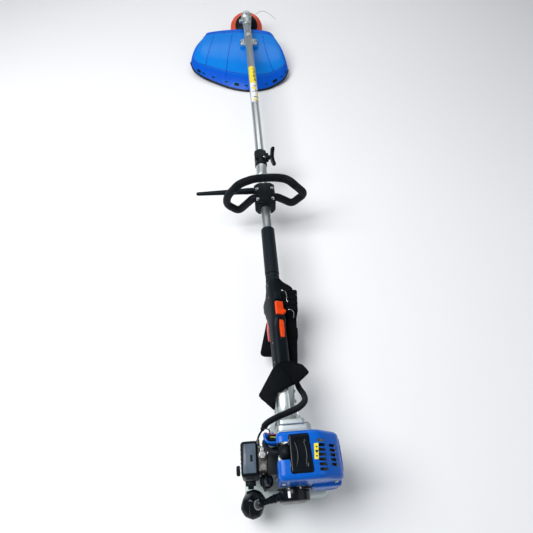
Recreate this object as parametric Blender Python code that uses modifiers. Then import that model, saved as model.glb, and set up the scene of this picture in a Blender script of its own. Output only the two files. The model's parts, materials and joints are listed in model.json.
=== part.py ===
"""Petrol string trimmer with a split shaft, built as separate working parts.

Everything is modelled in the shaft frame and hung on one empty.  In that frame the
crankshaft and the shaft lie on the Y axis, Y (the station) runs forward from the rear of
the crank axis towards the cutting head, X points right and Z up.  The empty lifts the
shaft frame so that the fuel tank's flat foot is centred on the world origin.
"""
import math

import bpy
import bmesh
from mathutils import Matrix, Vector

# ---------------------------------------------------------------- driving dimensions (m)
AXIS_HEIGHT = 0.102          # shaft axis above the surface the trimmer rests on
FOOT_STATION = 0.045         # station of the centre of the tank's foot
GAP = 0.0003                 # clearance between touching parts
TUBE_R = 0.013               # shaft tube, 26 mm
TUBE_BORE = 0.0115
DRIVE_R = 0.004              # inner drive shaft
LOWER_TUBE = (0.146, 0.840)  # stations of the power unit's tube
UPPER_TUBE = (0.8405, 1.640)  # stations of the attachment's tube
CYLINDER_Y = 0.058           # station of the cylinder's axis
CRANK_THROW = 0.014
WRIST_PIN_Z = 0.052
CONTROL_ROLL = math.radians(25)   # the control handle is turned about the tube
HANDLE_Y = 0.698             # station of the loop handle
BAR_Y = 0.728                # station of the barrier bar
CLAMP_SPAN = (0.678, 0.738)
LOOP_Z = 0.0245              # height of the loop's cross piece over the shaft axis
LOOP_R = 0.0105
GEAR_POINT = Vector((0.0, 1.686, 0.0))      # where shaft axis and spool axis meet
HEAD_TILT = math.radians(56)                # from the shaft axis down to the spool axis
SPOOL_AXIS = Vector((0.0, math.cos(HEAD_TILT), -math.sin(HEAD_TILT)))
SPOOL_R = 0.065
COVER_LOW = Vector((-0.028, 0.0178, -0.012))
COVER_HIGH = Vector((0.080, 0.0948, 0.098))
COVER_WALL = 0.0022
TANK_LOW = Vector((-0.088, 0.007, -0.102))
TANK_HIGH = Vector((0.070, 0.085, -0.042))
FILLER_POINT = Vector((-0.069, 0.014, -0.064))
FILLER_AXIS = Vector((-0.28, -0.62, 0.73)).normalized()
PULL_START = Vector((-0.0366, 0.0030, 0.0105))
PULL_AXIS = Vector((-0.955, -0.245, 0.170)).normalized()
TRIGGER_PIVOT = Vector((0.0, 0.394, -0.0205))
LOCKOUT_PIVOT = Vector((0.0, 0.343, 0.0195))
PORT_Z = 0.035               # height of the inlet port, shared by carburettor and filter
X_AXIS = Vector((1.0, 0.0, 0.0))
Y_AXIS = Vector((0.0, 1.0, 0.0))
Z_AXIS = Vector((0.0, 0.0, 1.0))

# ------------------------------------------------------------------------- scene set-up
for old in list(bpy.data.objects):
    bpy.data.objects.remove(old, do_unlink=True)

PARTS = bpy.data.collections.new("string_trimmer")
CUTTERS = bpy.data.collections.new("cutters")
bpy.context.scene.collection.children.link(PARTS)
bpy.context.scene.collection.children.link(CUTTERS)


def empty(name, location=(0.0, 0.0, 0.0), rotation=(0.0, 0.0, 0.0), parent=None):
    """An empty that carries other objects."""
    holder = bpy.data.objects.new(name, None)
    holder.location = location
    holder.rotation_euler = rotation
    holder.parent = parent
    PARTS.objects.link(holder)
    return holder


SHAFT_FRAME = empty("shaft_frame", (0.0, -FOOT_STATION, AXIS_HEIGHT))
CONTROL_FRAME = empty("control_frame", rotation=(0.0, CONTROL_ROLL, 0.0), parent=SHAFT_FRAME)


def material(name, colour, roughness, metallic=0.0):
    """A Principled BSDF material."""
    made = bpy.data.materials.new(name)
    made.use_nodes = True
    shader = made.node_tree.nodes["Principled BSDF"]
    shader.inputs["Base Color"].default_value = (*colour, 1.0)
    shader.inputs["Roughness"].default_value = roughness
    shader.inputs["Metallic"].default_value = metallic
    return made


BLUE = material("blue_plastic", (0.004, 0.110, 0.780), 0.25)
SHIELD_BLUE = material("shield_blue", (0.004, 0.200, 0.700), 0.35)
BLACK = material("black_plastic", (0.012, 0.014, 0.018), 0.45)
RUBBER = material("black_rubber", (0.015, 0.017, 0.020), 0.75)
SILVER = material("cast_aluminium", (0.58, 0.60, 0.60), 0.40, 1.0)
TUBE_METAL = material("tube_aluminium", (0.72, 0.74, 0.75), 0.28, 1.0)
STEEL = material("machined_steel", (0.42, 0.43, 0.45), 0.30, 1.0)
ORANGE = material("orange_plastic", (0.900, 0.090, 0.004), 0.40)
TANK_WHITE = material("milky_tank", (0.60, 0.66, 0.66), 0.35)
GREY = material("grey_plastic", (0.25, 0.27, 0.28), 0.40)
NYLON = material("nylon_line", (0.50, 0.52, 0.50), 0.30)
TEXTILE = material("black_webbing", (0.012, 0.014, 0.018), 0.90)

# --------------------------------------------------------------------- modelling helpers


def wrap(name, mesh, parent=SHAFT_FRAME):
    """An object for a mesh whose points are in its parent's frame."""
    piece = bpy.data.objects.new(name, mesh)
    piece.parent = parent
    PARTS.objects.link(piece)
    return piece


def shade(mesh):
    """Smooth shading with sharp corners."""
    mesh.shade_smooth()
    mesh.set_sharp_from_angle(angle=math.radians(35))


def mesh_of(source):
    """The evaluated, welded mesh of a curve or of an object with modifiers."""
    bpy.context.view_layer.update()
    evaluated = source.evaluated_get(bpy.context.evaluated_depsgraph_get())
    mesh = bpy.data.meshes.new_from_object(evaluated)
    working = bmesh.new()
    working.from_mesh(mesh)
    bmesh.ops.remove_doubles(working, verts=working.verts, dist=0.00002)
    working.to_mesh(mesh)
    working.free()
    shade(mesh)
    return mesh


def turn_to(direction):
    """Rotation that takes Z to the given direction."""
    return Z_AXIS.rotation_difference(Vector(direction).normalized()).to_matrix().to_4x4()


def rod(name, start, end, radius, end_radius=None, sides=16, parent=SHAFT_FRAME):
    """A cylinder or cone between two points."""
    start = Vector(start)
    end = Vector(end)
    reach = end - start
    place = Matrix.Translation((start + end) / 2) @ turn_to(reach)
    mesh = bpy.data.meshes.new(name)
    working = bmesh.new()
    bmesh.ops.create_cone(
        working, cap_ends=True, segments=sides, radius1=radius,
        radius2=radius if end_radius is None else end_radius, depth=reach.length, matrix=place)
    working.to_mesh(mesh)
    working.free()
    shade(mesh)
    return wrap(name, mesh, parent)


def block(name, low, high, bevel=0.0, segments=2, parent=SHAFT_FRAME):
    """A box between two corners, with rounded edges."""
    low = Vector(low)
    high = Vector(high)
    mesh = bpy.data.meshes.new(name)
    working = bmesh.new()
    size = Matrix.Diagonal((*(high - low), 1.0))
    bmesh.ops.create_cube(working, size=1.0, matrix=Matrix.Translation((low + high) / 2) @ size)
    working.to_mesh(mesh)
    working.free()
    piece = wrap(name, mesh, parent)
    if bevel:
        rounding = piece.modifiers.new("rounding", "BEVEL")
        rounding.width = bevel
        rounding.segments = segments
    return piece


def turned(name, profile, start, direction, sides=20, ring=False, parent=SHAFT_FRAME):
    """A turned part: (radius, distance) pairs along an axis, as a ring or closed on it."""
    area = 0.0
    for (r0, h0), (r1, h1) in zip(profile, profile[1:] + profile[:1]):
        area += r0 * h1 - r1 * h0
    if area > 0.0:
        profile = profile[::-1]
    mesh = bpy.data.meshes.new(name + "_profile")
    edges = [(i, i + 1) for i in range(len(profile) - 1)]
    if ring:
        edges.append((len(profile) - 1, 0))
    mesh.from_pydata([(radius, 0.0, height) for radius, height in profile], edges, [])
    guide = bpy.data.objects.new(name + "_guide", mesh)
    CUTTERS.objects.link(guide)
    screw = guide.modifiers.new("turn", "SCREW")
    screw.steps = sides
    screw.render_steps = sides
    screw.use_merge_vertices = True
    screw.merge_threshold = 0.00002
    solid = mesh_of(guide)
    bpy.data.objects.remove(guide, do_unlink=True)
    solid.transform(Matrix.Translation(Vector(start)) @ turn_to(direction))
    return wrap(name, solid, parent)


def plate(name, outline, origin, u_axis, v_axis, thickness, holes=(), parent=SHAFT_FRAME):
    """A flat outline, extruded half the thickness to each side of its plane."""
    curve = bpy.data.curves.new(name + "_outline", "CURVE")
    curve.dimensions = "2D"
    curve.fill_mode = "BOTH"
    curve.extrude = thickness / 2
    for loop in (outline, *holes):
        spline = curve.splines.new("POLY")
        spline.points.add(len(loop) - 1)
        for point, (u, v) in zip(spline.points, loop):
            point.co = (u, v, 0.0, 1.0)
        spline.use_cyclic_u = True
    guide = bpy.data.objects.new(name + "_guide", curve)
    CUTTERS.objects.link(guide)
    mesh = mesh_of(guide)
    bpy.data.objects.remove(guide, do_unlink=True)
    u_axis = Vector(u_axis)
    v_axis = Vector(v_axis)
    turn = Matrix((u_axis, v_axis, u_axis.cross(v_axis))).transposed().to_4x4()
    mesh.transform(Matrix.Translation(Vector(origin)) @ turn)
    return wrap(name, mesh, parent)


def pipe(name, points, radius, cyclic=False, resolution=3, radii=None, parent=SHAFT_FRAME):
    """A round bar or tube that follows its points."""
    curve = bpy.data.curves.new(name + "_path", "CURVE")
    curve.dimensions = "3D"
    curve.bevel_depth = radius
    curve.bevel_resolution = resolution
    curve.use_fill_caps = True
    spline = curve.splines.new("POLY")
    spline.points.add(len(points) - 1)
    for i, point in enumerate(points):
        spline.points[i].co = (*point, 1.0)
        spline.points[i].radius = 1.0 if radii is None else radii[i]
    spline.use_cyclic_u = cyclic
    guide = bpy.data.objects.new(name + "_guide", curve)
    CUTTERS.objects.link(guide)
    mesh = mesh_of(guide)
    bpy.data.objects.remove(guide, do_unlink=True)
    return wrap(name, mesh, parent)


def smooth_path(points, steps, cyclic=False):
    """Points on a Catmull-Rom curve through the given ones."""
    anchors = [Vector(point) for point in points]
    count = len(anchors)
    path = []
    for i in range(count if cyclic else count - 1):
        if cyclic:
            a, b, c, d = (anchors[(i + k) % count] for k in (-1, 0, 1, 2))
        else:
            a = anchors[max(i - 1, 0)]
            b = anchors[i]
            c = anchors[i + 1]
            d = anchors[min(i + 2, count - 1)]
        for k in range(steps):
            t = k / steps
            path.append(0.5 * (2 * b + (c - a) * t + (2 * a - 5 * b + 4 * c - d) * t ** 2
                               + (3 * b - a - 3 * c + d) * t ** 3))
    if not cyclic:
        path.append(anchors[-1])
    return path


def arc(centre, radius, start_deg, end_deg, steps):
    """Points along an arc."""
    angles = [math.radians(start_deg + (end_deg - start_deg) * i / steps) for i in range(steps + 1)]
    return [(centre[0] + radius * math.cos(a), centre[1] + radius * math.sin(a)) for a in angles]


def rounded(corners, radius, steps=3):
    """A closed outline with its corners rounded."""
    outline = []
    count = len(corners)
    for i, corner in enumerate(corners):
        here = Vector(corner)
        before = Vector(corners[i - 1]) - here
        after = Vector(corners[(i + 1) % count]) - here
        reach = min(radius, before.length / 2.2, after.length / 2.2)
        first = here + before.normalized() * reach
        last = here + after.normalized() * reach
        for k in range(steps + 1):
            t = k / steps
            point = first * (1 - t) ** 2 + here * 2 * t * (1 - t) + last * t ** 2
            outline.append((point.x, point.y))
    return outline


def hide_tool(tool):
    """Keep a piece as a cutter or a joined part only."""
    for holder in list(tool.users_collection):
        holder.objects.unlink(tool)
    CUTTERS.objects.link(tool)
    tool.hide_render = True
    tool.display_type = "WIRE"


def combine(piece, operation, tools):
    """Add or take away other shapes."""
    for tool in tools:
        step = piece.modifiers.new(tool.name, "BOOLEAN")
        step.operation = operation
        step.object = tool
        hide_tool(tool)
    return piece


def cut(piece, *tools):
    """Take the tools' shapes out of the piece."""
    return combine(piece, "DIFFERENCE", tools)


def join(piece, *tools):
    """Make the tools' shapes part of the piece."""
    return combine(piece, "UNION", tools)


def finish(piece, surface, origin=None):
    """Give the piece its material, and its origin on its joint's axis."""
    piece.data.materials.clear()
    piece.data.materials.append(surface)
    if origin is not None:
        origin = Vector(origin)
        piece.data.transform(Matrix.Translation(-origin))
        piece.location = origin
    return piece


def upright(distance):
    """A point on the cylinder's axis."""
    return Vector((0.0, CYLINDER_Y, distance))


def on_spool_axis(distance):
    """A point on the spool's axis, measured down from the gear point."""
    return GEAR_POINT + SPOOL_AXIS * distance


# --------------------------------------------------------------- engine: running gear


def make_crankcase():
    """Turned case with end bearings, a cylinder pad on top and a foot on the tank."""
    shell = [(0.031, 0.082), (0.031, 0.034), (0.0063, 0.034), (0.0063, 0.040),
             (0.025, 0.040), (0.025, 0.076), (0.0063, 0.076), (0.0063, 0.082)]
    case = turned("crankcase", shell, (0, 0, 0), Y_AXIS, sides=18, ring=True)
    join(case,
         turned("crankcase_pad", [(0.0173, 0.033), (0.0205, 0.033), (0.0205, 0.0255),
                                  (0.0173, 0.0255)], upright(0), Z_AXIS, sides=18, ring=True),
         block("crankcase_foot", (-0.020, 0.040, -0.0417), (0.020, 0.076, -0.0285)))
    cut(case, rod("crankcase_mouth", upright(0.010), upright(0.040), 0.01725, sides=18))
    return finish(case, SILVER)


def make_crankshaft():
    """Journals, webs, crank pin and the clutch carrier in one piece."""
    shaft = rod("crankshaft", (0, 0.020, 0), (0, 0.0440, 0), 0.006)
    join(shaft,
         rod("crank_web_rear", (0, 0.0435, 0), (0, 0.0500, 0), 0.021, sides=20),
         rod("crank_pin", (0, 0.0490, CRANK_THROW), (0, 0.0670, CRANK_THROW), 0.005),
         rod("crank_web_front", (0, 0.0660, 0), (0, 0.0725, 0), 0.021, sides=20),
         rod("crank_nose", (0, 0.0720, 0), (0, 0.1220, 0), 0.006),
         rod("clutch_carrier", (0, 0.1120, 0), (0, 0.1190, 0), 0.0115))
    return finish(shaft, STEEL)


def make_connecting_rod():
    """Rod on the wrist pin, its big end held clear of the turning crank."""
    near, far = 0.053, 0.063
    eye_z = 0.0312
    bar = block("connecting_rod", (-0.004, 0.0545, 0.036), (0.004, 0.0615, 0.048))
    join(bar,
         rod("big_end", (0, near, eye_z), (0, far, eye_z), 0.009),
         rod("small_end", (0, near, WRIST_PIN_Z), (0, far, WRIST_PIN_Z), 0.0072))
    cut(bar,
        rod("big_end_bore", (0, 0.050, eye_z), (0, 0.066, eye_z), 0.0054),
        rod("small_end_bore", (0, 0.050, WRIST_PIN_Z), (0, 0.066, WRIST_PIN_Z), 0.0044))
    return finish(bar, STEEL)


def make_piston():
    """Piston open below, with its wrist pin."""
    wall = [(0.0, 0.0650), (0.0167, 0.0650), (0.0167, 0.0450), (0.0135, 0.0450),
            (0.0135, 0.0615), (0.0, 0.0615)]
    crown = turned("piston", wall, upright(0), Z_AXIS, sides=18)
    join(crown, rod("wrist_pin", (0, 0.043, WRIST_PIN_Z), (0, 0.073, WRIST_PIN_Z), 0.004,
                    sides=16))
    return finish(crown, SILVER)


def make_cylinder():
    """Finned cylinder with a blind bore."""
    fin_r, barrel_r, bore_r = 0.0252, 0.0205, 0.0170
    profile = [(0.0, 0.0710), (0.0245, 0.0710), (0.0245, 0.0690)]
    for i in range(4):
        top = 0.0665 - 0.0055 * i
        profile += [(barrel_r, top + 0.0015), (fin_r, top), (fin_r, top - 0.0016),
                    (barrel_r, top - 0.0020)]
    profile += [(barrel_r, 0.0333), (bore_r, 0.0333), (bore_r, 0.0665), (0.0, 0.0665)]
    barrel = turned("cylinder", profile, upright(0), Z_AXIS, sides=18)
    return finish(barrel, SILVER)


def make_fan():
    """Fan housing, and the flywheel with its vanes."""
    shell = [(0.042, 0.1050), (0.042, 0.0845), (0.0395, 0.0845), (0.0395, 0.1025),
             (0.0068, 0.1025), (0.0068, 0.1050)]
    case = turned("fan_housing", shell, (0, 0, 0), Y_AXIS, sides=24, ring=True)
    case_room = rod("fan_room", (0, 0.080, 0), (0, 0.1020, 0), 0.0388, sides=24)
    join(case, block("fan_flange", (-0.024, 0.0952, 0.010), (0.042, 0.1050, 0.050), 0.003, 1))
    finish(cut(case, case_room), SILVER)
    vanes = 12
    outline = []
    for i in range(vanes):
        start = 360.0 * i / vanes
        outline += arc((0, 0), 0.037, start, start + 7.0, 1)
        outline += arc((0, 0), 0.029, start + 9.5, start + 27.0, 1)
    wheel = plate("flywheel", outline, (0, 0.0925, 0), X_AXIS, Z_AXIS, 0.012,
                  holes=[arc((0, 0), 0.0063, 0, -337.5, 15)])
    finish(wheel, SILVER)


def make_clutch():
    """Clutch housing with the tube socket, the drum, and the shoes with their springs."""
    shell = [(0.0205, 0.205), (0.0205, 0.152), (0.025, 0.138), (0.032, 0.127),
             (0.0375, 0.112), (0.0375, 0.1053), (0.028, 0.1053), (0.028, 0.126),
             (0.0134, 0.138), (0.0134, 0.205)]
    housing = turned("clutch_housing", shell, (0, 0, 0), Y_AXIS, sides=24, ring=True)
    join(housing, block("clutch_flange", (-0.022, 0.1053, 0.020), (0.040, 0.1180, 0.047), 0.003, 1))
    finish(cut(housing, rod("clutch_room", (0, 0.100, 0), (0, 0.125, 0), 0.0275)), SILVER)
    cup = [(0.0, 0.1345), (0.008, 0.1345), (0.008, 0.1245), (0.0255, 0.1245),
           (0.0255, 0.1085), (0.0235, 0.1085), (0.0235, 0.1222), (0.0, 0.1222)]
    finish(turned("clutch_drum", cup, (0, 0, 0), Y_AXIS), STEEL)
    inner, outer = 0.0122, 0.0228
    right = arc((0, 0), outer, -75, 75, 10) + arc((0, 0), inner, 75, -75, 8)
    shoes = plate("clutch_shoes", right, (0, 0.115, 0), X_AXIS, Z_AXIS, 0.010)
    left = arc((0, 0), outer, 105, 255, 10) + arc((0, 0), inner, 255, 105, 8)
    spring_top = block("clutch_spring_top", (-0.008, 0.1135, 0.0165), (0.008, 0.1165, 0.0195))
    spring_low = block("clutch_spring_low", (-0.008, 0.1135, -0.0195), (0.008, 0.1165, -0.0165))
    join(shoes, plate("clutch_shoe_left", left, (0, 0.115, 0), X_AXIS, Z_AXIS, 0.010),
         spring_top, spring_low)
    finish(shoes, STEEL)


# ------------------------------------------------------------------ engine: covers


def make_cylinder_cover():
    """Blue shroud over cylinder and silencer, open below, with vents and openings."""
    shell = block("cylinder_cover", COVER_LOW, COVER_HIGH)
    cage = bmesh.new()
    cage.from_mesh(shell.data)
    bottom = [face for face in cage.faces if face.normal.z < -0.5]
    bmesh.ops.delete(cage, geom=bottom, context="FACES")
    cage.to_mesh(shell.data)
    cage.free()
    rounding = shell.modifiers.new("rounding", "BEVEL")
    rounding.width = 0.017
    rounding.segments = 3
    wall = shell.modifiers.new("wall", "SOLIDIFY")
    wall.thickness = COVER_WALL
    wall.offset = -1.0
    tools = [
        block("cover_saddle_hole", (-0.0070, 0.028, 0.085), (0.0310, 0.087, 0.110)),
        block("cover_side_low", (-0.040, 0.031, -0.050), (-0.010, 0.120, 0.046)),
        block("cover_side_high", (-0.040, 0.048, 0.040), (-0.010, 0.108, 0.088)),
        block("cover_boot_hole", (-0.040, 0.049, 0.060), (-0.0062, 0.077, 0.112)),
        rod("cover_fan_hole", (0, 0.070, 0), (0, 0.120, 0), 0.0430, sides=32),
        rod("cover_starter_hole", (0, 0.000, 0), (0, 0.028, 0), 0.0262, sides=20),
        block("cover_outlet", (0.045, 0.000, 0.024), (0.064, 0.030, 0.030)),
    ]
    for i in range(6):
        station = 0.0345 + 0.0076 * i
        tools.append(block(f"cover_vent_in_{i}", (0.0460, station, 0.085),
                           (0.0590, station + 0.0043, 0.110)))
    for i in range(5):
        station = 0.0430 + 0.0076 * i
        tools.append(block(f"cover_vent_out_{i}", (0.0650, station, 0.074),
                           (0.0900, station + 0.0043, 0.110)))
    cut(shell, *tools)
    finish(shell, BLUE)


def make_plug_cover():
    """Black saddle that closes the shroud over the spark plug."""
    saddle = block("plug_cover", (-0.0066, 0.0284, 0.0885), (0.0306, 0.0866, 0.0945), 0.0015, 1)
    join(saddle,
         block("saddle_rib_left", (0.0020, 0.033, 0.0940), (0.0048, 0.082, 0.0975)),
         block("saddle_rib_right", (0.0192, 0.033, 0.0940), (0.0220, 0.082, 0.0975)))
    finish(saddle, BLACK)


def make_muffler():
    """Silencer box with an inlet from the cylinder and an outlet to the rear."""
    box = block("muffler", (0.0320, 0.029, -0.008), (0.0762, 0.084, 0.046), 0.006)
    join(box, rod("exhaust_pipe", (0.0212, CYLINDER_Y, PORT_Z), (0.0340, CYLINDER_Y, PORT_Z), 0.009))
    cut(box,
        block("muffler_room", (0.0343, 0.0313, -0.0057), (0.0739, 0.0817, 0.0437)),
        rod("muffler_inlet", (0.015, CYLINDER_Y, PORT_Z), (0.040, CYLINDER_Y, PORT_Z), 0.006),
        rod("muffler_outlet", (0.055, 0.020, 0.024), (0.055, 0.040, 0.024), 0.004))
    finish(box, STEEL)


# ------------------------------------------------------------------ engine: ignition


def make_ignition():
    """Coil, spark plug, and the plug's boot with its lead."""
    finish(block("ignition_coil", (-0.048, 0.086, 0.034), (-0.029, 0.104, 0.052), 0.002), BLACK)
    plug_y = 0.063
    plug = turned("spark_plug", [(0.0, 0.0835), (0.0045, 0.0835), (0.0045, 0.0760),
                                 (0.0075, 0.0755), (0.0075, 0.0713), (0.0, 0.0713)],
                  (0, plug_y, 0), Z_AXIS, sides=16)
    finish(plug, STEEL)
    boot = rod("plug_boot", (-0.025, plug_y, 0.083), (-0.0080, plug_y, 0.083), 0.0118,
               end_radius=0.0095, sides=20)
    lead_path = smooth_path([(-0.022, plug_y, 0.082), (-0.034, 0.066, 0.081),
                             (-0.042, 0.078, 0.073), (-0.040, 0.090, 0.063),
                             (-0.039, 0.0935, 0.0545)], 3)
    join(boot,
         rod("boot_sleeve", (0, plug_y, 0.0775), (0, plug_y, 0.0878), 0.0085),
         pipe("ignition_lead", lead_path, 0.0035, resolution=2))
    cut(boot, rod("boot_socket", (0, plug_y, 0.070), (0, plug_y, 0.0842), 0.0049, sides=16))
    finish(boot, RUBBER)


# ------------------------------------------------------- engine: fuel and air


def make_intake():
    """Insulator block, carburettor, its throttle barrel and the primer bulb."""
    low_y, high_y = 0.045, 0.073
    insulator = block("insulator_block", (-0.0425, low_y, 0.0235), (-0.0212, high_y, 0.0452),
                      0.0015, 1)
    cut(insulator, rod("insulator_port", (-0.050, 0.059, PORT_Z), (-0.010, 0.059, PORT_Z), 0.008,
                       sides=16))
    finish(insulator, BLACK)
    barrel_x, barrel_y = -0.0515, 0.068
    body = block("carburettor", (-0.0600, 0.042, 0.012), (-0.0428, 0.084, 0.046), 0.002, 1)
    join(body, rod("barrel_housing", (barrel_x, barrel_y, 0.044), (barrel_x, barrel_y, 0.052), 0.008))
    cut(body,
        rod("carburettor_port", (-0.070, 0.059, PORT_Z), (-0.030, 0.059, PORT_Z), 0.007, sides=16),
        rod("barrel_bore", (barrel_x, barrel_y, 0.030), (barrel_x, barrel_y, 0.060), 0.0063,
            sides=16))
    finish(body, GREY)
    barrel = rod("throttle_barrel", (barrel_x, barrel_y, 0.031), (barrel_x, barrel_y, 0.056), 0.006,
                 sides=16)
    join(barrel, block("throttle_lever", (barrel_x - 0.003, barrel_y, 0.0524),
                       (barrel_x + 0.003, barrel_y + 0.013, 0.0556)))
    finish(barrel, STEEL, (barrel_x, barrel_y, 0.040))
    tilt = Vector((0.0, -0.35, 0.94)).normalized()
    seat = Vector((-0.0470, 0.0355, -0.006))
    cup = [(0.0, 0.003), (0.0095, 0.003), (0.0095, 0.010), (0.0125, 0.010), (0.0125, 0.0),
           (0.0, 0.0)]
    finish(turned("primer_base", cup, seat, tilt, sides=18), BLACK)
    dome = [(0.0, 0.0160), (0.004, 0.0152), (0.0075, 0.0125), (0.0090, 0.0090), (0.0090, 0.0085),
            (0.0, 0.0085)]
    finish(turned("primer_bulb", dome, seat, tilt, sides=20), RUBBER, seat + tilt * 0.0085)


def make_air_filter():
    """Base plate, cover with its thumb knob, and the choke lever."""
    base = block("filter_base", (-0.0625, 0.037, -0.015), (-0.0603, 0.094, 0.042), 0.0008, 1)
    cut(base, rod("filter_port", (-0.070, 0.059, PORT_Z), (-0.050, 0.059, PORT_Z), 0.006, sides=16))
    finish(base, BLACK)
    lid = block("filter_cover", (-0.092, 0.035, -0.017), (-0.0628, 0.096, 0.044), 0.004, 2)
    cut(lid, block("filter_room", (-0.0898, 0.0375, -0.0145), (-0.050, 0.0935, 0.0415)))
    finish(lid, BLACK)
    knob = turned("filter_knob", [(0.0, 0.0065), (0.0065, 0.0065), (0.008, 0.0050), (0.008, 0.0),
                                  (0.0, 0.0)], (-0.0923, 0.052, 0.010), -X_AXIS, sides=16)
    finish(knob, BLACK, (-0.0923, 0.052, 0.010))
    pivot = (-0.075, 0.0300, 0.012)
    lever = rod("choke_lever", (-0.084, 0.0300, 0.012), (-0.066, 0.0300, 0.012), 0.0042, sides=16)
    join(lever, block("choke_finger", (-0.080, 0.0165, 0.0095), (-0.070, 0.0310, 0.0140), 0.001, 1))
    finish(lever, BLACK, pivot)


def make_fuel_tank():
    """Hollow tank with a flat foot, and the filler neck with its cap."""
    tank = block("fuel_tank", TANK_LOW, TANK_HIGH, 0.014, 3)
    neck_top = FILLER_POINT + FILLER_AXIS * 0.028
    cut(tank, block("tank_room", TANK_LOW + Vector((0.003, 0.027, 0.003)),
                    TANK_HIGH - Vector((0.003, 0.003, 0.003)), 0.011, 2),
        rod("filler_pocket", FILLER_POINT, FILLER_POINT + FILLER_AXIS * 0.070, 0.0240))
    join(tank, rod("filler_neck", FILLER_POINT - FILLER_AXIS * 0.004, neck_top, 0.0135))
    cut(tank, rod("filler_bore", FILLER_POINT - FILLER_AXIS * 0.045, neck_top + FILLER_AXIS * 0.010,
                  0.0090, sides=16))
    finish(tank, TANK_WHITE)
    cup = [(0.0, 0.0340), (0.0165, 0.0340), (0.0205, 0.0300), (0.0205, 0.0040), (0.0142, 0.0040),
           (0.0142, 0.0288), (0.0, 0.0288)]
    cap = turned("fuel_cap", cup, FILLER_POINT, FILLER_AXIS, sides=18)
    finish(cap, BLACK, FILLER_POINT)


# ------------------------------------------------------------------ engine: starter


def make_starter():
    """Recoil starter: housing with a rope guide, pulley and pull grip."""
    cup = [(0.0, -0.0050), (0.0240, -0.0050), (0.0275, -0.0025), (0.0275, 0.0144),
           (0.0303, 0.0144), (0.0303, 0.0174), (0.0250, 0.0174), (0.0250, -0.0025),
           (0.0030, -0.0025), (0.0030, 0.0090), (0.0, 0.0090)]
    housing = turned("starter_housing", cup, (0, 0, 0), Y_AXIS, sides=28)
    inside = PULL_START - PULL_AXIS * 0.0145
    join(housing, rod("rope_guide", inside, PULL_START - PULL_AXIS * GAP, 0.0070, sides=16))
    cut(housing, rod("rope_hole", PULL_START - PULL_AXIS * 0.022, PULL_START + PULL_AXIS * 0.010,
                     0.0022, sides=12))
    for i, angle in enumerate((35, 62, 118, 145)):
        turn = math.radians(angle)
        centre = Vector((math.cos(turn), 0, math.sin(turn))) * 0.026
        cut(housing, block(f"starter_window_{i}", centre + Vector((-0.0045, 0.0005, -0.0045)),
                           centre + Vector((0.0045, 0.0110, 0.0045))))
    finish(housing, BLACK)
    wheel = [(0.0215, 0.0072), (0.0215, 0.0052), (0.0180, 0.0032), (0.0215, 0.0012),
             (0.0215, -0.0010), (0.0033, -0.0010), (0.0033, 0.0072)]
    pulley = turned("starter_pulley", wheel, (0, 0, 0), Y_AXIS, sides=20, ring=True)
    finish(pulley, BLACK, (0, 0, 0))
    neck_end = PULL_START + PULL_AXIS * 0.0235
    grip = rod("starter_grip", PULL_START + PULL_AXIS * GAP, neck_end, 0.0062, 0.0052, sides=16)
    bar = [(0.0, 0.0180), (0.0050, 0.0170), (0.0078, 0.0120), (0.0082, 0.0), (0.0078, -0.0120),
           (0.0050, -0.0170), (0.0, -0.0180)]
    join(grip, turned("starter_bar", bar, neck_end + PULL_AXIS * 0.003, Vector((0.17, 0.0, 0.985)),
                      sides=16))
    finish(grip, BLACK, PULL_START)


# --------------------------------------------------------------------------- shaft


def make_shaft():
    """Both tubes and both inner drive shafts."""
    bare = [(TUBE_R, LOWER_TUBE[0]), (TUBE_R, 0.7970), (0.0156, 0.7990), (0.0156, 0.8374),
            (TUBE_R, 0.8374), (TUBE_R, LOWER_TUBE[1]), (TUBE_BORE, LOWER_TUBE[1]),
            (TUBE_BORE, LOWER_TUBE[0])]
    finish(turned("lower_tube", bare, (0, 0, 0), Y_AXIS, sides=24, ring=True), TUBE_METAL)
    bare = [(TUBE_R, UPPER_TUBE[0]), (TUBE_R, UPPER_TUBE[1]), (TUBE_BORE, UPPER_TUBE[1]),
            (TUBE_BORE, UPPER_TUBE[0])]
    finish(turned("upper_tube", bare, (0, 0, 0), Y_AXIS, sides=24, ring=True), TUBE_METAL)
    finish(rod("lower_drive_shaft", (0, 0.1348, 0), (0, 0.838, 0), DRIVE_R, sides=12), STEEL)
    finish(rod("upper_drive_shaft", (0, 0.8385, 0), (0, 1.6520, 0), DRIVE_R, sides=12), STEEL)


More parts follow.
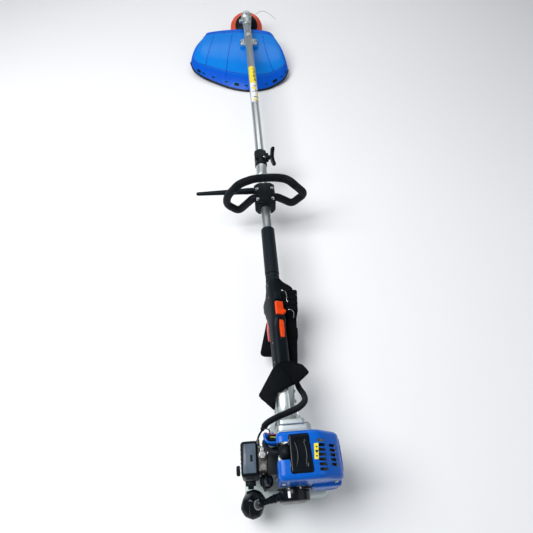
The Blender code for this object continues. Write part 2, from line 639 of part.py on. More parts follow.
def make_coupler():
    """Clamp that joins the two tubes, with its T-knob and its locking button."""
    low, high = 0.8378, 0.897
    body = turned("coupler", [(TUBE_R + GAP, low), (0.0162, low), (0.0172, low + 0.004),
                              (0.0172, high - 0.004), (0.0158, high), (TUBE_R + GAP, high)],
                  (0, 0, 0), Y_AXIS, sides=24, ring=True)
    lug = block("coupler_lug", (0.0145, 0.866, -0.0085), (0.0235, 0.888, 0.0085), 0.002, 1)
    band = block("coupler_band", (-0.0165, 0.858, -0.0185), (0.0165, 0.893, 0.0185), 0.005, 2)
    cut(band, rod("band_bore", (0, 0.850, 0), (0, 0.900, 0), 0.0150))
    join(body, band, lug)
    button_y = 0.860
    button_low = Vector((0.0064, button_y, 0.0118))
    button_axis = Vector((0.48, 0.0, 0.877)).normalized()
    cut(body, rod("knob_bore", (0.0140, 0.877, 0), (0.030, 0.877, 0), 0.0033, sides=12),
        rod("button_bore", button_low, button_low + button_axis * 0.020, 0.0043, sides=16))
    finish(body, BLACK)
    knob = rod("coupler_knob", (0.0152, 0.877, 0), (0.0330, 0.877, 0), 0.0030, sides=12)
    wing = plate("coupler_wing", rounded([(-0.031, 0.007), (-0.026, 0.0005), (0.0, -0.0035),
                                          (0.026, 0.0005), (0.031, 0.007), (0.026, 0.0095),
                                          (0.0, 0.006), (-0.026, 0.0095)], 0.004, 2),
                 (0.0330, 0.877, 0.0), Vector((0.0, 0.90, 0.436)), X_AXIS, 0.009)
    join(knob, rod("knob_hub", (0.0238, 0.877, 0), (0.0360, 0.877, 0), 0.0065, sides=16), wing)
    finish(knob, BLACK, (0.0240, 0.877, 0))
    start = button_low + button_axis * 0.0023
    button = rod("coupler_button", start, button_low + button_axis * 0.0095, 0.0040, sides=16)
    finish(button, GREY, start)


def make_foam_sleeve():
    """Foam sleeve with a stepped rubber neck behind it."""
    outer = [(0.0163, 0.6150), (0.0163, 0.4720), (0.0150, 0.4715), (0.0150, 0.4680),
             (0.0162, 0.4675), (0.0162, 0.4615), (0.0150, 0.4610), (0.0150, 0.4575),
             (0.0166, 0.4570), (0.0166, 0.4506)]
    inner = [(TUBE_R + GAP, 0.4506), (TUBE_R + GAP, 0.6150)]
    finish(turned("foam_sleeve", outer + inner, (0, 0, 0), Y_AXIS, sides=24, ring=True), RUBBER)


def make_control_handle():
    """Control handle in two halves, with trigger, lock-out and stop switch."""
    side = rounded([(0.228, -0.0165), (0.228, 0.0165), (0.330, 0.0175), (0.348, 0.0225),
                    (0.400, 0.0225), (0.416, 0.0175), (0.450, 0.0170), (0.450, -0.0165),
                    (0.424, -0.0175), (0.410, -0.0285), (0.380, -0.0285), (0.345, -0.0215),
                    (0.300, -0.0175)], 0.006, 2)
    half = 0.0168
    for label, sign in (("right", 1.0), ("left", -1.0)):
        centre = sign * (half + GAP / 2) / 2
        shell = plate(f"control_handle_{label}", side, (centre, 0, 0), Y_AXIS, Z_AXIS,
                      half - GAP / 2, parent=CONTROL_FRAME)
        rounding = shell.modifiers.new("rounding", "BEVEL")
        rounding.width = 0.0035
        rounding.segments = 1
        rounding.limit_method = "ANGLE"
        rounding.angle_limit = math.radians(60)
        cut(shell,
            rod(f"tube_bore_{label}", (0, 0.200, 0), (0, 0.470, 0), TUBE_R + GAP, sides=24,
                parent=CONTROL_FRAME),
            block(f"trigger_slot_{label}", (-0.0052, 0.312, -0.060), (0.0052, 0.402, -0.0120),
                  parent=CONTROL_FRAME),
            block(f"lockout_slot_{label}", (-0.0050, 0.300, 0.0120), (0.0050, 0.3445, 0.060),
                  parent=CONTROL_FRAME),
            block(f"switch_slot_{label}", (-0.0100, 0.354, 0.0180), (0.0100, 0.393, 0.060),
                  parent=CONTROL_FRAME))
        finish(shell, BLACK)
    trigger = plate("throttle_trigger",
                    rounded([(0.399, -0.0170), (0.399, -0.0250), (0.382, -0.0340),
                             (0.350, -0.0430), (0.318, -0.0405), (0.316, -0.0370),
                             (0.345, -0.0340), (0.372, -0.0250), (0.386, -0.0170)], 0.003, 2),
                    (0, 0, 0), Y_AXIS, Z_AXIS, 0.0094, parent=CONTROL_FRAME)
    finish(trigger, ORANGE, TRIGGER_PIVOT)
    lockout = plate("throttle_lockout",
                    rounded([(0.3435, 0.0215), (0.3435, 0.0165), (0.335, 0.0150),
                             (0.303, 0.0178), (0.302, 0.0205), (0.316, 0.0232),
                             (0.335, 0.0236)], 0.002, 2),
                    (0, 0, 0), Y_AXIS, Z_AXIS, 0.0090, parent=CONTROL_FRAME)
    finish(lockout, ORANGE, LOCKOUT_PIVOT)
    switch = block("stop_switch", (-0.0094, 0.3545, 0.0184), (0.0094, 0.3865, 0.0262), 0.002, 2,
                   parent=CONTROL_FRAME)
    join(switch, block("switch_ridge", (0.0035, 0.3570, 0.0250), (0.0070, 0.3650, 0.0300), 0.0008, 1,
                       parent=CONTROL_FRAME))
    finish(switch, ORANGE, (0, 0.3545, 0.0184))


def make_conduit():
    """Corrugated cable conduit from the control handle to the carburettor side."""
    route = [(0.0240, 0.2440, -0.0060), (0.0270, 0.2200, -0.0100), (0.0320, 0.2010, -0.0100),
             (0.0385, 0.1820, 0.0020), (0.0370, 0.1650, 0.0180), (0.0230, 0.1490, 0.0360),
             (0.0000, 0.1380, 0.0450), (-0.0200, 0.1310, 0.0470), (-0.0380, 0.1240, 0.0420),
             (-0.0500, 0.1140, 0.0330), (-0.0540, 0.1020, 0.0300)]
    finish(pipe("cable_conduit", smooth_path(route, 3), 0.0060, resolution=1), RUBBER)


def make_loop_handle():
    """Clamp in two halves, the loop it holds, and the barrier bar."""
    low, high = CLAMP_SPAN
    width = 0.027
    base = block("handle_clamp_base", (-width, low, -0.0190), (width, high, LOOP_Z - GAP), 0.004, 2)
    cap = block("handle_clamp_cap", (-width, low, LOOP_Z + GAP), (width, high, 0.0385), 0.004, 2)
    for label, piece in (("base", base), ("cap", cap)):
        cut(piece,
            rod(f"tube_hole_{label}", (0, low - 0.01, 0), (0, high + 0.01, 0), TUBE_R + GAP,
                sides=24),
            rod(f"loop_hole_{label}", (-0.040, HANDLE_Y, LOOP_Z), (0.040, HANDLE_Y, LOOP_Z),
                LOOP_R + 2 * GAP, sides=24))
    finish(base, BLACK)
    finish(cap, BLACK)
    corners = [(-0.0445, LOOP_Z), (0.0445, LOOP_Z), (0.072, -0.0035), (0.1045, 0.0310),
               (0.0560, 0.0870), (0.0220, 0.0950), (-0.0280, 0.0945), (-0.0660, 0.0790),
               (-0.0990, 0.0360), (-0.1020, 0.0040), (-0.0710, -0.0220)]
    ring = [Vector((x, HANDLE_Y, z)) for x, z in rounded(corners, 0.015)]
    finish(pipe("loop_handle", ring, LOOP_R, cyclic=True, resolution=2), RUBBER,
           (0, HANDLE_Y, LOOP_Z))
    bar_points = [Vector((-width - GAP - 0.152 * i / 4, BAR_Y, 0.0200)) for i in range(5)]
    bar = pipe("barrier_bar", bar_points, 0.0088, radii=[1.0, 0.92, 0.80, 0.68, 0.55])
    finish(bar, BLACK)


# ------------------------------------------------------------------------- cutting head


def make_gear_case():
    """Angled gear case, with the drive pinion and the output gear inside."""
    case = rod("gear_case", (0, 1.6220, 0), (0, 1.6800, 0), 0.0168, 0.0195, sides=24)
    join(case,
         turned("gear_tower", [(0.0, -0.0270), (0.0120, -0.0255), (0.0185, -0.0190),
                               (0.0195, -0.0120), (0.0195, 0.0230), (0.0165, 0.0360),
                               (0.0, 0.0360)], GEAR_POINT, SPOOL_AXIS),
         block("clamp_ear", (-0.0290, 1.6560, -0.0060), (-0.0120, 1.6700, 0.0060), 0.002, 1))
    cut(case,
        rod("tube_socket", (0, 1.600, 0), (0, 1.6403, 0), TUBE_R + GAP, sides=24),
        rod("pinion_room", (0, 1.6350, 0), (0, 1.6760, 0), 0.0105),
        rod("gear_room", on_spool_axis(-0.010), on_spool_axis(0.030), 0.0155),
        rod("output_hole", on_spool_axis(0.028), on_spool_axis(0.050), 0.0063, sides=16))
    finish(case, SILVER)
    pinion = rod("drive_pinion", (0, 1.6523, 0), (0, 1.6660, 0), 0.0092, 0.0062, sides=12)
    finish(pinion, STEEL, (0, 1.6523, 0))
    gear = rod("output_gear", on_spool_axis(0.0160), on_spool_axis(0.0260), 0.0080, 0.0138, sides=18)
    join(gear, rod("output_shaft", on_spool_axis(0.0255), on_spool_axis(0.0560), 0.006, sides=16))
    finish(gear, STEEL, GEAR_POINT)


def make_spool():
    """Spool housing, its coloured base ring, the line spool with its bump knob, and the line."""
    top = [(0.0063, 0.0370), (0.0200, 0.0370), (0.0440, 0.0440), (0.0470, 0.0490),
           (0.0470, 0.0548), (0.0440, 0.0548), (0.0400, 0.0490), (0.0180, 0.0430),
           (0.0063, 0.0430)]
    finish(turned("spool_housing", top, GEAR_POINT, SPOOL_AXIS, sides=22, ring=True), BLACK)
    base = [(0.0440, 0.0552), (0.0540, 0.0552), (SPOOL_R, 0.0620), (SPOOL_R, 0.0730),
            (0.0600, 0.0820), (0.0270, 0.0840), (0.0270, 0.0810), (0.0560, 0.0790),
            (0.0610, 0.0720), (0.0610, 0.0640), (0.0440, 0.0592)]
    finish(turned("spool_base", base, GEAR_POINT, SPOOL_AXIS, sides=26, ring=True), ORANGE)
    reel = [(0.0, 0.0960), (0.0180, 0.0960), (0.0225, 0.0920), (0.0240, 0.0820), (0.0240, 0.0765),
            (0.0500, 0.0765), (0.0500, 0.0735), (0.0280, 0.0730), (0.0280, 0.0670),
            (0.0480, 0.0665), (0.0480, 0.0645), (0.0068, 0.0645), (0.0068, 0.0745), (0.0, 0.0745)]
    finish(turned("line_spool", reel, GEAR_POINT, SPOOL_AXIS, sides=20), BLACK, GEAR_POINT)
    up_front = Vector((0.0, math.sin(HEAD_TILT), math.cos(HEAD_TILT)))
    outward = X_AXIS * 0.62 + up_front * 0.785
    start = on_spool_axis(0.067) + outward * (SPOOL_R + GAP)
    steps = [(0.0, 0.0, 0.0), (0.014, 0.012, 0.004), (0.032, 0.016, 0.005), (0.052, 0.008, 0.001),
             (0.070, -0.010, -0.005), (0.080, -0.024, -0.009)]
    route = [start + Vector(step) for step in steps]
    finish(pipe("cutting_line", smooth_path(route, 4), 0.0012, resolution=2), NYLON)


def make_shield():
    """Guard: a shell lofted from its front edge to its deeper rear rim."""
    front = smooth_path([(-0.172, 1.628, -0.040), (-0.152, 1.647, -0.031), (-0.090, 1.650, -0.026),
                         (-0.020, 1.648, -0.0235), (0.040, 1.643, -0.026), (0.086, 1.634, -0.032),
                         (0.104, 1.612, -0.040)], 3)
    rim = smooth_path([(-0.226, 1.512, -0.078), (-0.200, 1.458, -0.085), (-0.135, 1.408, -0.091),
                       (-0.072, 1.371, -0.095), (-0.007, 1.352, -0.096), (0.062, 1.362, -0.095),
                       (0.142, 1.436, -0.083)], 3)
    side_bow = 0.012
    depths = (0.0, 0.15, 0.30, 0.45, 0.60, 0.72, 0.82, 0.90, 0.96, 1.0)
    grid = bmesh.new()
    lattice = []
    for depth in depths:
        fall = 0.12 * depth + 0.88 * depth ** 3.5
        row = []
        for i, (near, far) in enumerate(zip(front, rim)):
            side = 2.0 * i / (len(front) - 1) - 1.0
            x = near.x + (far.x - near.x) * depth
            x += side ** 3 * side_bow * math.sin(math.pi * depth)
            y = near.y + (far.y - near.y) * depth
            row.append(grid.verts.new((x, y, near.z + (far.z - near.z) * fall)))
        lattice.append(row)
    for upper, lower in zip(lattice, lattice[1:]):
        for i in range(len(front) - 1):
            grid.faces.new((upper[i], lower[i], lower[i + 1], upper[i + 1]))
    mesh = bpy.data.meshes.new("shield")
    grid.to_mesh(mesh)
    grid.free()
    shade(mesh)
    shell = wrap("shield", mesh)
    wall = shell.modifiers.new("wall", "SOLIDIFY")
    wall.thickness = 0.0026
    wall.offset = -1.0
    finish(shell, SHIELD_BLUE)


def make_shield_bracket():
    """Clamp ring and base plate that hold the shield under the tube."""
    ring = turned("shield_bracket", [(0.0170, 1.554), (0.0170, 1.526), (TUBE_R + GAP, 1.526),
                                     (TUBE_R + GAP, 1.554)], (0, 0, 0), Y_AXIS, sides=24, ring=True)
    join(ring, block("bracket_plate", (-0.030, 1.524, -0.0240), (0.032, 1.556, -0.0155), 0.001, 1))
    cut(ring, rod("bracket_bore", (0, 1.510, 0), (0, 1.570, 0), TUBE_R + GAP, sides=24))
    finish(ring, SILVER)


# ----------------------------------------------------------------------------- harness


def make_harness():
    """Shoulder harness bundled round the control handle: three soft pads."""
    right = plate("harness_pad_right",
                  rounded([(0.247, -0.026), (0.247, -0.004), (0.362, 0.002), (0.366, 0.020),
                           (0.424, 0.018), (0.426, -0.022), (0.360, -0.030)], 0.008, 3),
                  (0.0420, 0, 0), Y_AXIS, Z_AXIS, 0.030)
    finish(right, TEXTILE)
    left = plate("harness_pad_left",
                 rounded([(-0.030, 0.384), (0.020, 0.384), (0.022, 0.284), (-0.056, 0.290)], 0.014),
                 (0, 0, -0.0580), X_AXIS, Y_AXIS, 0.016)
    finish(left, TEXTILE)
    inner_r, outer_r = 0.0245, 0.0310
    inner = [(0.056, -0.022)] + arc((0, 0), inner_r, 28, 152, 8) + [(-0.052, -0.020)]
    outer = [(-0.058, -0.014)] + arc((0, 0), outer_r, 146, 34, 8) + [(0.061, -0.015)]
    rear = plate("harness_pad_rear", inner + outer, (0, 0.200, 0), X_AXIS, Z_AXIS, 0.110)
    plan = rounded([(-0.021, 0.230), (-0.052, 0.192), (-0.025, 0.153), (-0.019, 0.181),
                    (0.008, 0.192), (0.028, 0.203), (0.057, 0.231), (0.040, 0.245),
                    (0.0, 0.245)], 0.006, 2)
    combine(rear, "INTERSECT", [plate("pad_plan", plan, (0, 0, 0), X_AXIS, Y_AXIS, 0.200)])
    finish(rear, TEXTILE)


make_crankcase()
make_crankshaft()
make_connecting_rod()
make_piston()
make_cylinder()
make_fan()
make_clutch()
make_cylinder_cover()
make_plug_cover()
make_muffler()
make_ignition()
make_intake()
make_air_filter()
make_fuel_tank()
make_starter()
make_shaft()
make_coupler()
make_foam_sleeve()
make_control_handle()
make_conduit()
make_loop_handle()
make_gear_case()
make_spool()
make_shield()
make_shield_bracket()
make_harness()
bpy.context.view_layer.update()
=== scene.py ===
"""Looks of the petrol string trimmer, built round its packed working parts.

Shapes are made in millimetres in the shaft frame of the model: X to the right, Y (the station)
forward along the shaft from the rear of the crank axis, Z up from the shaft axis.  SHAFT and
CONTROL turn them into metres in the row frame.
"""
import json
import math

import bmesh
import bpy
from mathutils import Matrix, Vector


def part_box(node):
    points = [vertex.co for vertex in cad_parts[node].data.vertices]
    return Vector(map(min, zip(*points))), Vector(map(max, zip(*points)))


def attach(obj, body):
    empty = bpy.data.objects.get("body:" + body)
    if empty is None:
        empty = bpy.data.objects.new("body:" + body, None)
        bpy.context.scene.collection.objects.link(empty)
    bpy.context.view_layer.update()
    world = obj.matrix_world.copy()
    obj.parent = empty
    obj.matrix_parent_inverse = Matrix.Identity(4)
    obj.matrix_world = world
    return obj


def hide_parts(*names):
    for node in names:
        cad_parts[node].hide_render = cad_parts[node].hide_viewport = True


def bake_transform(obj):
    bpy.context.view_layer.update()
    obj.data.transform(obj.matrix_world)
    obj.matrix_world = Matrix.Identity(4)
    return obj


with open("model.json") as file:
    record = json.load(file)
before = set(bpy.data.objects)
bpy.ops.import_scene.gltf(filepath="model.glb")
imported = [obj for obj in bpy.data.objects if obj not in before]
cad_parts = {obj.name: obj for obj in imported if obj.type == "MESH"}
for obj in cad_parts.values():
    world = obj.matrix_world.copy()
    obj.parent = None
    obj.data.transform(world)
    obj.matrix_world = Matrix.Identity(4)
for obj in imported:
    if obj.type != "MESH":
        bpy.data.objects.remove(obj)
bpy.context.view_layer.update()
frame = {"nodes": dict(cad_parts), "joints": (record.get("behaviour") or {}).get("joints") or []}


# ------------------------------------------------------------------ places from the frame
JOINTS = {joint["name"]: joint for joint in frame["joints"]}
TUBE_LOW, TUBE_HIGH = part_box("lower_tube")
MM = 1e-3
TUBE_START = 146
AXIS_PLACE = (0, TUBE_LOW.y - TUBE_START * MM, (TUBE_LOW.z + TUBE_HIGH.z) / 2)
CONTROL_ROLL = math.radians(25)
SHAFT = Matrix.Translation(AXIS_PLACE) @ Matrix.Scale(MM, 4)
CONTROL = SHAFT @ Matrix.Rotation(CONTROL_ROLL, 4, "Y")
TUBE_R = 13
TUBE_BORE = 11.5
GAP = 0.3
TUBE_HOLE = TUBE_R + GAP
KNOB_Y = 877
ORIGIN = (0, 0, 0)
X_AXIS = Vector((1.0, 0, 0))
Y_AXIS = Vector((0, 1.0, 0))
Z_AXIS = Vector((0, 0, 1.0))
GEAR_POINT = Vector((0, 1686, 0))
SPOOL_AXIS = Vector(JOINTS["spool_spin"]["axis"]).normalized()
SPOOL_R = 65
SPOOL_FRONT = Vector((0, -SPOOL_AXIS.z, SPOOL_AXIS.y))
LINE_SIDE = X_AXIS * 0.62 + SPOOL_FRONT * 0.785    # where the line leaves the spool
HANDLE_Y = 698
BAR_Y = 728
LOOP_Z = 24.5
LOOP_R = 10.5
PULL_START = Vector((-36.6, 3, 10.5))
PULL_AXIS = Vector(JOINTS["starter_pull"]["axis"]).normalized()
FILLER_POINT = Vector((-69, 14, -64))
FILLER_AXIS = Vector(JOINTS["fuel_cap_turn"]["axis"]).normalized()


def on_spool_axis(distance):
    """A point on the spool's axis, measured down from the gear point."""
    return GEAR_POINT + SPOOL_AXIS * distance


def spoke(degrees, axis=-Y_AXIS):
    """A direction square to an axis: X at 0, and for the shaft's own axis Z at 90."""
    turn = math.radians(degrees)
    return X_AXIS * math.cos(turn) + axis.cross(X_AXIS).normalized() * math.sin(turn)


# ------------------------------------------------------------------------------- camera
CAMERA_PLACE = Vector((-0.056, -0.1262, 0.9547))
CAMERA_AZIMUTH = math.radians(4.4)
CAMERA_DROP = math.radians(55.8)
camera = bpy.data.objects.new("camera", bpy.data.cameras.new("camera"))
bpy.context.scene.collection.objects.link(camera)
camera.location = CAMERA_PLACE
camera.rotation_euler = (math.radians(90) - CAMERA_DROP, 0.0, -CAMERA_AZIMUTH)
camera.data.sensor_width = 36.0
camera.data.lens = 29.04
camera.data.clip_start = 0.01
bpy.context.scene.camera = camera


# ---------------------------------------------------------------------- geometry helpers


def shade(mesh, degrees=35):
    """Smooth shading with sharp corners."""
    mesh.shade_smooth()
    mesh.set_sharp_from_angle(angle=math.radians(degrees))


def wrap(name, working, place=SHAFT, degrees=35):
    """An object for a bmesh whose points are in the given frame; the bmesh is freed."""
    mesh = bpy.data.meshes.new(name)
    bmesh.ops.transform(working, matrix=place, verts=working.verts)
    working.to_mesh(mesh)
    working.free()
    shade(mesh, degrees)
    piece = bpy.data.objects.new(name, mesh)
    bpy.context.scene.collection.objects.link(piece)
    return piece


def bake(piece, degrees=35):
    """Apply the piece's modifiers."""
    bpy.context.view_layer.update()
    evaluated = piece.evaluated_get(bpy.context.evaluated_depsgraph_get())
    mesh = bpy.data.meshes.new_from_object(evaluated)
    piece.modifiers.clear()
    piece.data = mesh
    shade(mesh, degrees)
    return piece


def carve(piece, tools, operation="DIFFERENCE"):
    """Take the tools' shapes out of the piece, or add them to it, and remove the tools."""
    for tool in tools:
        step = piece.modifiers.new(tool.name, "BOOLEAN")
        step.operation = operation
        step.object = tool
    bake(piece)
    for tool in tools:
        bpy.data.objects.remove(tool, do_unlink=True)
    return piece


def merge(name, pieces):
    """One object that holds several pieces' meshes, which stay separate bodies."""
    working = bmesh.new()
    for piece in pieces:
        working.from_mesh(piece.data)
    for piece in pieces:
        bpy.data.objects.remove(piece, do_unlink=True)
    return wrap(name, working, Matrix.Identity(4))


def turn_to(direction):
    """Rotation that takes Z to the given direction."""
    return Z_AXIS.rotation_difference(Vector(direction).normalized()).to_matrix().to_4x4()


def skin(name, loops, place=SHAFT, ring=False):
    """A closed skin over loops of points, each joined to the next; a loop may be a single point."""
    working = bmesh.new()
    loops = [[working.verts.new(point) for point in loop] for loop in loops]
    for low, high in zip(loops, loops[1:] + (loops[:1] if ring else [])):
        count = max(len(low), len(high))
        for i in range(count):
            k = (i + 1) % count
            corners = [low[i % len(low)], low[k % len(low)], high[k % len(high)], high[i % len(high)]]
            face = list(dict.fromkeys(corners))
            if len(face) > 2:
                working.faces.new(face)
    for loop in (loops[0][::-1], loops[-1]):
        if len(loop) > 2 and not ring:
            working.faces.new(loop)
    bmesh.ops.recalc_face_normals(working, faces=working.faces)
    return wrap(name, working, place)


def lathe(name, profile, start, direction, sides=48, ring=False, place=SHAFT, flute=None):
    """A turned part: (radius, distance) pairs along an axis, as a ring or closed on it.

    flute, if given, changes a radius by the turn's angle and the distance along the axis.
    """
    stand = Matrix.Translation(start) @ turn_to(direction)
    loops = []
    for radius, height in profile:
        loop = []
        for i in range(sides if radius else 1):
            angle = 2 * math.pi * i / sides
            r = flute(radius, height, angle) if flute else radius
            loop.append(stand @ Vector((r * math.cos(angle), r * math.sin(angle), height)))
        loops.append(loop)
    return skin(name, loops, place, ring)


def rod(name, start, end, radius, end_radius=None, edge=0, sides=40, place=SHAFT):
    """A cylinder or cone between two points, with eased ends."""
    start = Vector(start)
    reach = (Vector(end) - start).length
    last = radius if end_radius is None else end_radius
    profile = [(0, 0), (radius - edge, 0), (radius, edge), (last, reach - edge), (last - edge, reach),
        (0, reach)]
    if not edge:
        profile = [(0, 0), (radius, 0), (last, reach), (0, reach)]
    return lathe(name, profile, start, Vector(end) - start, sides, place=place)


def shaft_rod(name, start, end, radius, sides=40, **more):
    """A plain rod on the shaft's axis between two stations."""
    return rod(name, (0, start, 0), (0, end, 0), radius, sides=sides, **more)


def shaft_ring(name, profile, sides):
    """A turned ring round the shaft: (radius, station) pairs."""
    return lathe(name, profile, ORIGIN, Y_AXIS, sides, ring=True)


def block(name, low, high, bevel=0, segments=3, place=SHAFT):
    """A box between two corners, with rounded edges."""
    low = Vector(low)
    high = Vector(high)
    working = bmesh.new()
    size = Matrix.Diagonal((*(high - low), 1.0))
    bmesh.ops.create_cube(working, size=1.0, matrix=Matrix.Translation((low + high) / 2) @ size)
    if bevel:
        bmesh.ops.bevel(working, geom=working.edges[:], offset=bevel, segments=segments, profile=0.5,
            affect="EDGES", clamp_overlap=True)
    return wrap(name, working, place)


def plate(name, outline, origin, u_axis, v_axis, thickness, bevel=0, segments=2, place=SHAFT):
    """A flat outline, extruded half the thickness to each side of its plane."""
    u_axis = Vector(u_axis).normalized()
    v_axis = Vector(v_axis).normalized()
    normal = u_axis.cross(v_axis)
    origin = Vector(origin)
    working = bmesh.new()
    rims = []
    for side in (-0.5, 0.5):
        rims.append([working.verts.new(origin + u_axis * u + v_axis * v + normal * thickness * side)
            for u, v in outline])
    low, high = rims
    working.faces.new(low[::-1])
    working.faces.new(high)
    for i in range(len(outline)):
        k = (i + 1) % len(outline)
        working.faces.new((low[i], low[k], high[k], high[i]))
    bmesh.ops.recalc_face_normals(working, faces=working.faces)
    if bevel:
        flat = [face for face in working.faces if len(face.verts) == len(outline)]
        edges = {edge for face in flat for edge in face.edges}
        bmesh.ops.bevel(working, geom=list(edges), offset=bevel, segments=segments, profile=0.5,
            affect="EDGES", clamp_overlap=True)
    return wrap(name, working, place)


def level(name, outline, z, thickness, **more):
    """A plate square to Z, its middle at a height."""
    return plate(name, outline, (0, 0, z), X_AXIS, Y_AXIS, thickness, **more)


def facing(name, outline, station, thickness, **more):
    """A plate square to the shaft, its middle at a station."""
    return plate(name, outline, (0, station, 0), X_AXIS, Z_AXIS, thickness, **more)


def upright(name, outline, x, thickness, **more):
    """A plate square to X, its outline in Y and Z."""
    return plate(name, outline, (x, 0, 0), Y_AXIS, Z_AXIS, thickness, **more)


def tube(name, points, radii, sides=20, cyclic=False, place=SHAFT, flat=1.0, up=Z_AXIS):
    """A bar swept along its points, with a radius for each; flat squeezes it along up."""
    points = [Vector(point) for point in points]
    count = len(points)
    radii = radii if isinstance(radii, list) else [radii] * count
    loops = []
    side = None
    for i, point in enumerate(points):
        before = points[i - 1] if i or cyclic else point
        after = points[(i + 1) % count] if i < count - 1 or cyclic else point
        ahead = (after - before).normalized()
        if side is None:
            side = ahead.cross(up)
            if side.length < 0.1:
                side = ahead.cross(X_AXIS)
        side = (side - ahead * side.dot(ahead)).normalized()
        lift = side.cross(ahead) * flat
        turns = [2 * math.pi * k / sides for k in range(sides)]
        loops.append([point + (side * math.cos(turn) + lift * math.sin(turn)) * radii[i]
            for turn in turns])
    return skin(name, loops, place, cyclic)


def smooth_path(points, steps, cyclic=False):
    """Points on a Catmull-Rom curve through the given ones."""
    anchors = [Vector(point) for point in points]
    count = len(anchors)
    path = []
    for i in range(count if cyclic else count - 1):
        if cyclic:
            a, b, c, d = (anchors[(i + k) % count] for k in (-1, 0, 1, 2))
        else:
            a = anchors[max(i - 1, 0)]
            b = anchors[i]
            c = anchors[i + 1]
            d = anchors[min(i + 2, count - 1)]
        for k in range(steps):
            t = k / steps
            path.append(0.5 * (2 * b + (c - a) * t + (2 * a - 5 * b + 4 * c - d) * t ** 2
                + (3 * b - a - 3 * c + d) * t ** 3))
    if not cyclic:
        path.append(anchors[-1])
    return path


def resample(points, spacing, cyclic=False):
    """The same route with its points evenly spaced."""
    points = [Vector(point) for point in points]
    if cyclic:
        points.append(points[0])
    spans = [(b - a).length for a, b in zip(points, points[1:])]
    total = sum(spans)
    count = max(2, round(total / spacing))
    path = []
    i = 0
    passed = 0
    for k in range(count if cyclic else count + 1):
        goal = total * k / count
        while i < len(spans) - 1 and passed + spans[i] < goal:
            passed += spans[i]
            i += 1
        path.append(points[i].lerp(points[i + 1], min(1.0, (goal - passed) / spans[i])))
    return path


def arc(centre, radius, start_deg, end_deg, steps):
    """Points along an arc."""
    angles = [math.radians(start_deg + (end_deg - start_deg) * i / steps) for i in range(steps + 1)]
    return [(centre[0] + radius * math.cos(a), centre[1] + radius * math.sin(a)) for a in angles]


def rounded(corners, radius, steps=5):
    """A closed outline with its corners rounded."""
    outline = []
    count = len(corners)
    for i, corner in enumerate(corners):
        here = Vector(corner)
        before = Vector(corners[i - 1]) - here
        after = Vector(corners[(i + 1) % count]) - here
        reach = min(radius, before.length / 2.2, after.length / 2.2)
        first = here + before.normalized() * reach
        last = here + after.normalized() * reach
        for k in range(steps + 1):
            t = k / steps
            point = first * (1 - t) ** 2 + here * 2 * t * (1 - t) + last * t ** 2
            outline.append((point.x, point.y))
    return outline


def oblong(left, low, right, high, radius, steps=5):
    """A rectangle with rounded corners."""
    return rounded([(left, low), (right, low), (right, high), (left, high)], radius, steps)


def screw(name, place_point, direction, radius=3.2, height=2.4, place=SHAFT):
    """A pan-head screw with a socket, standing on a surface."""
    return lathe(name, [(0, -1), (radius, -1), (radius, height * 0.55), (radius * 0.86, height * 0.9),
        (radius * 0.6, height), (radius * 0.5, height), (radius * 0.5, height * 0.35),
        (0, height * 0.35)], place_point, direction, 18, place=place)


def hex_bolt(name, point, direction, radius=4.5, height=4, place=SHAFT):
    """A hexagon head on a washer."""
    washer = lathe(name + "_washer", [(0, -0.6), (radius * 1.45, -0.6), (radius * 1.5, 0.4),
        (radius * 1.4, 1), (0, 1)], point, direction, 28, place=place)
    head = lathe(name + "_head", [(0, 0.8), (radius, 0.8), (radius, height * 0.85),
        (radius * 0.86, height), (0, height)], point, direction, 6, place=place)
    shade(head.data, 20)
    return merge(name, [washer, head])


# ---------------------------------------------------------------------------- materials


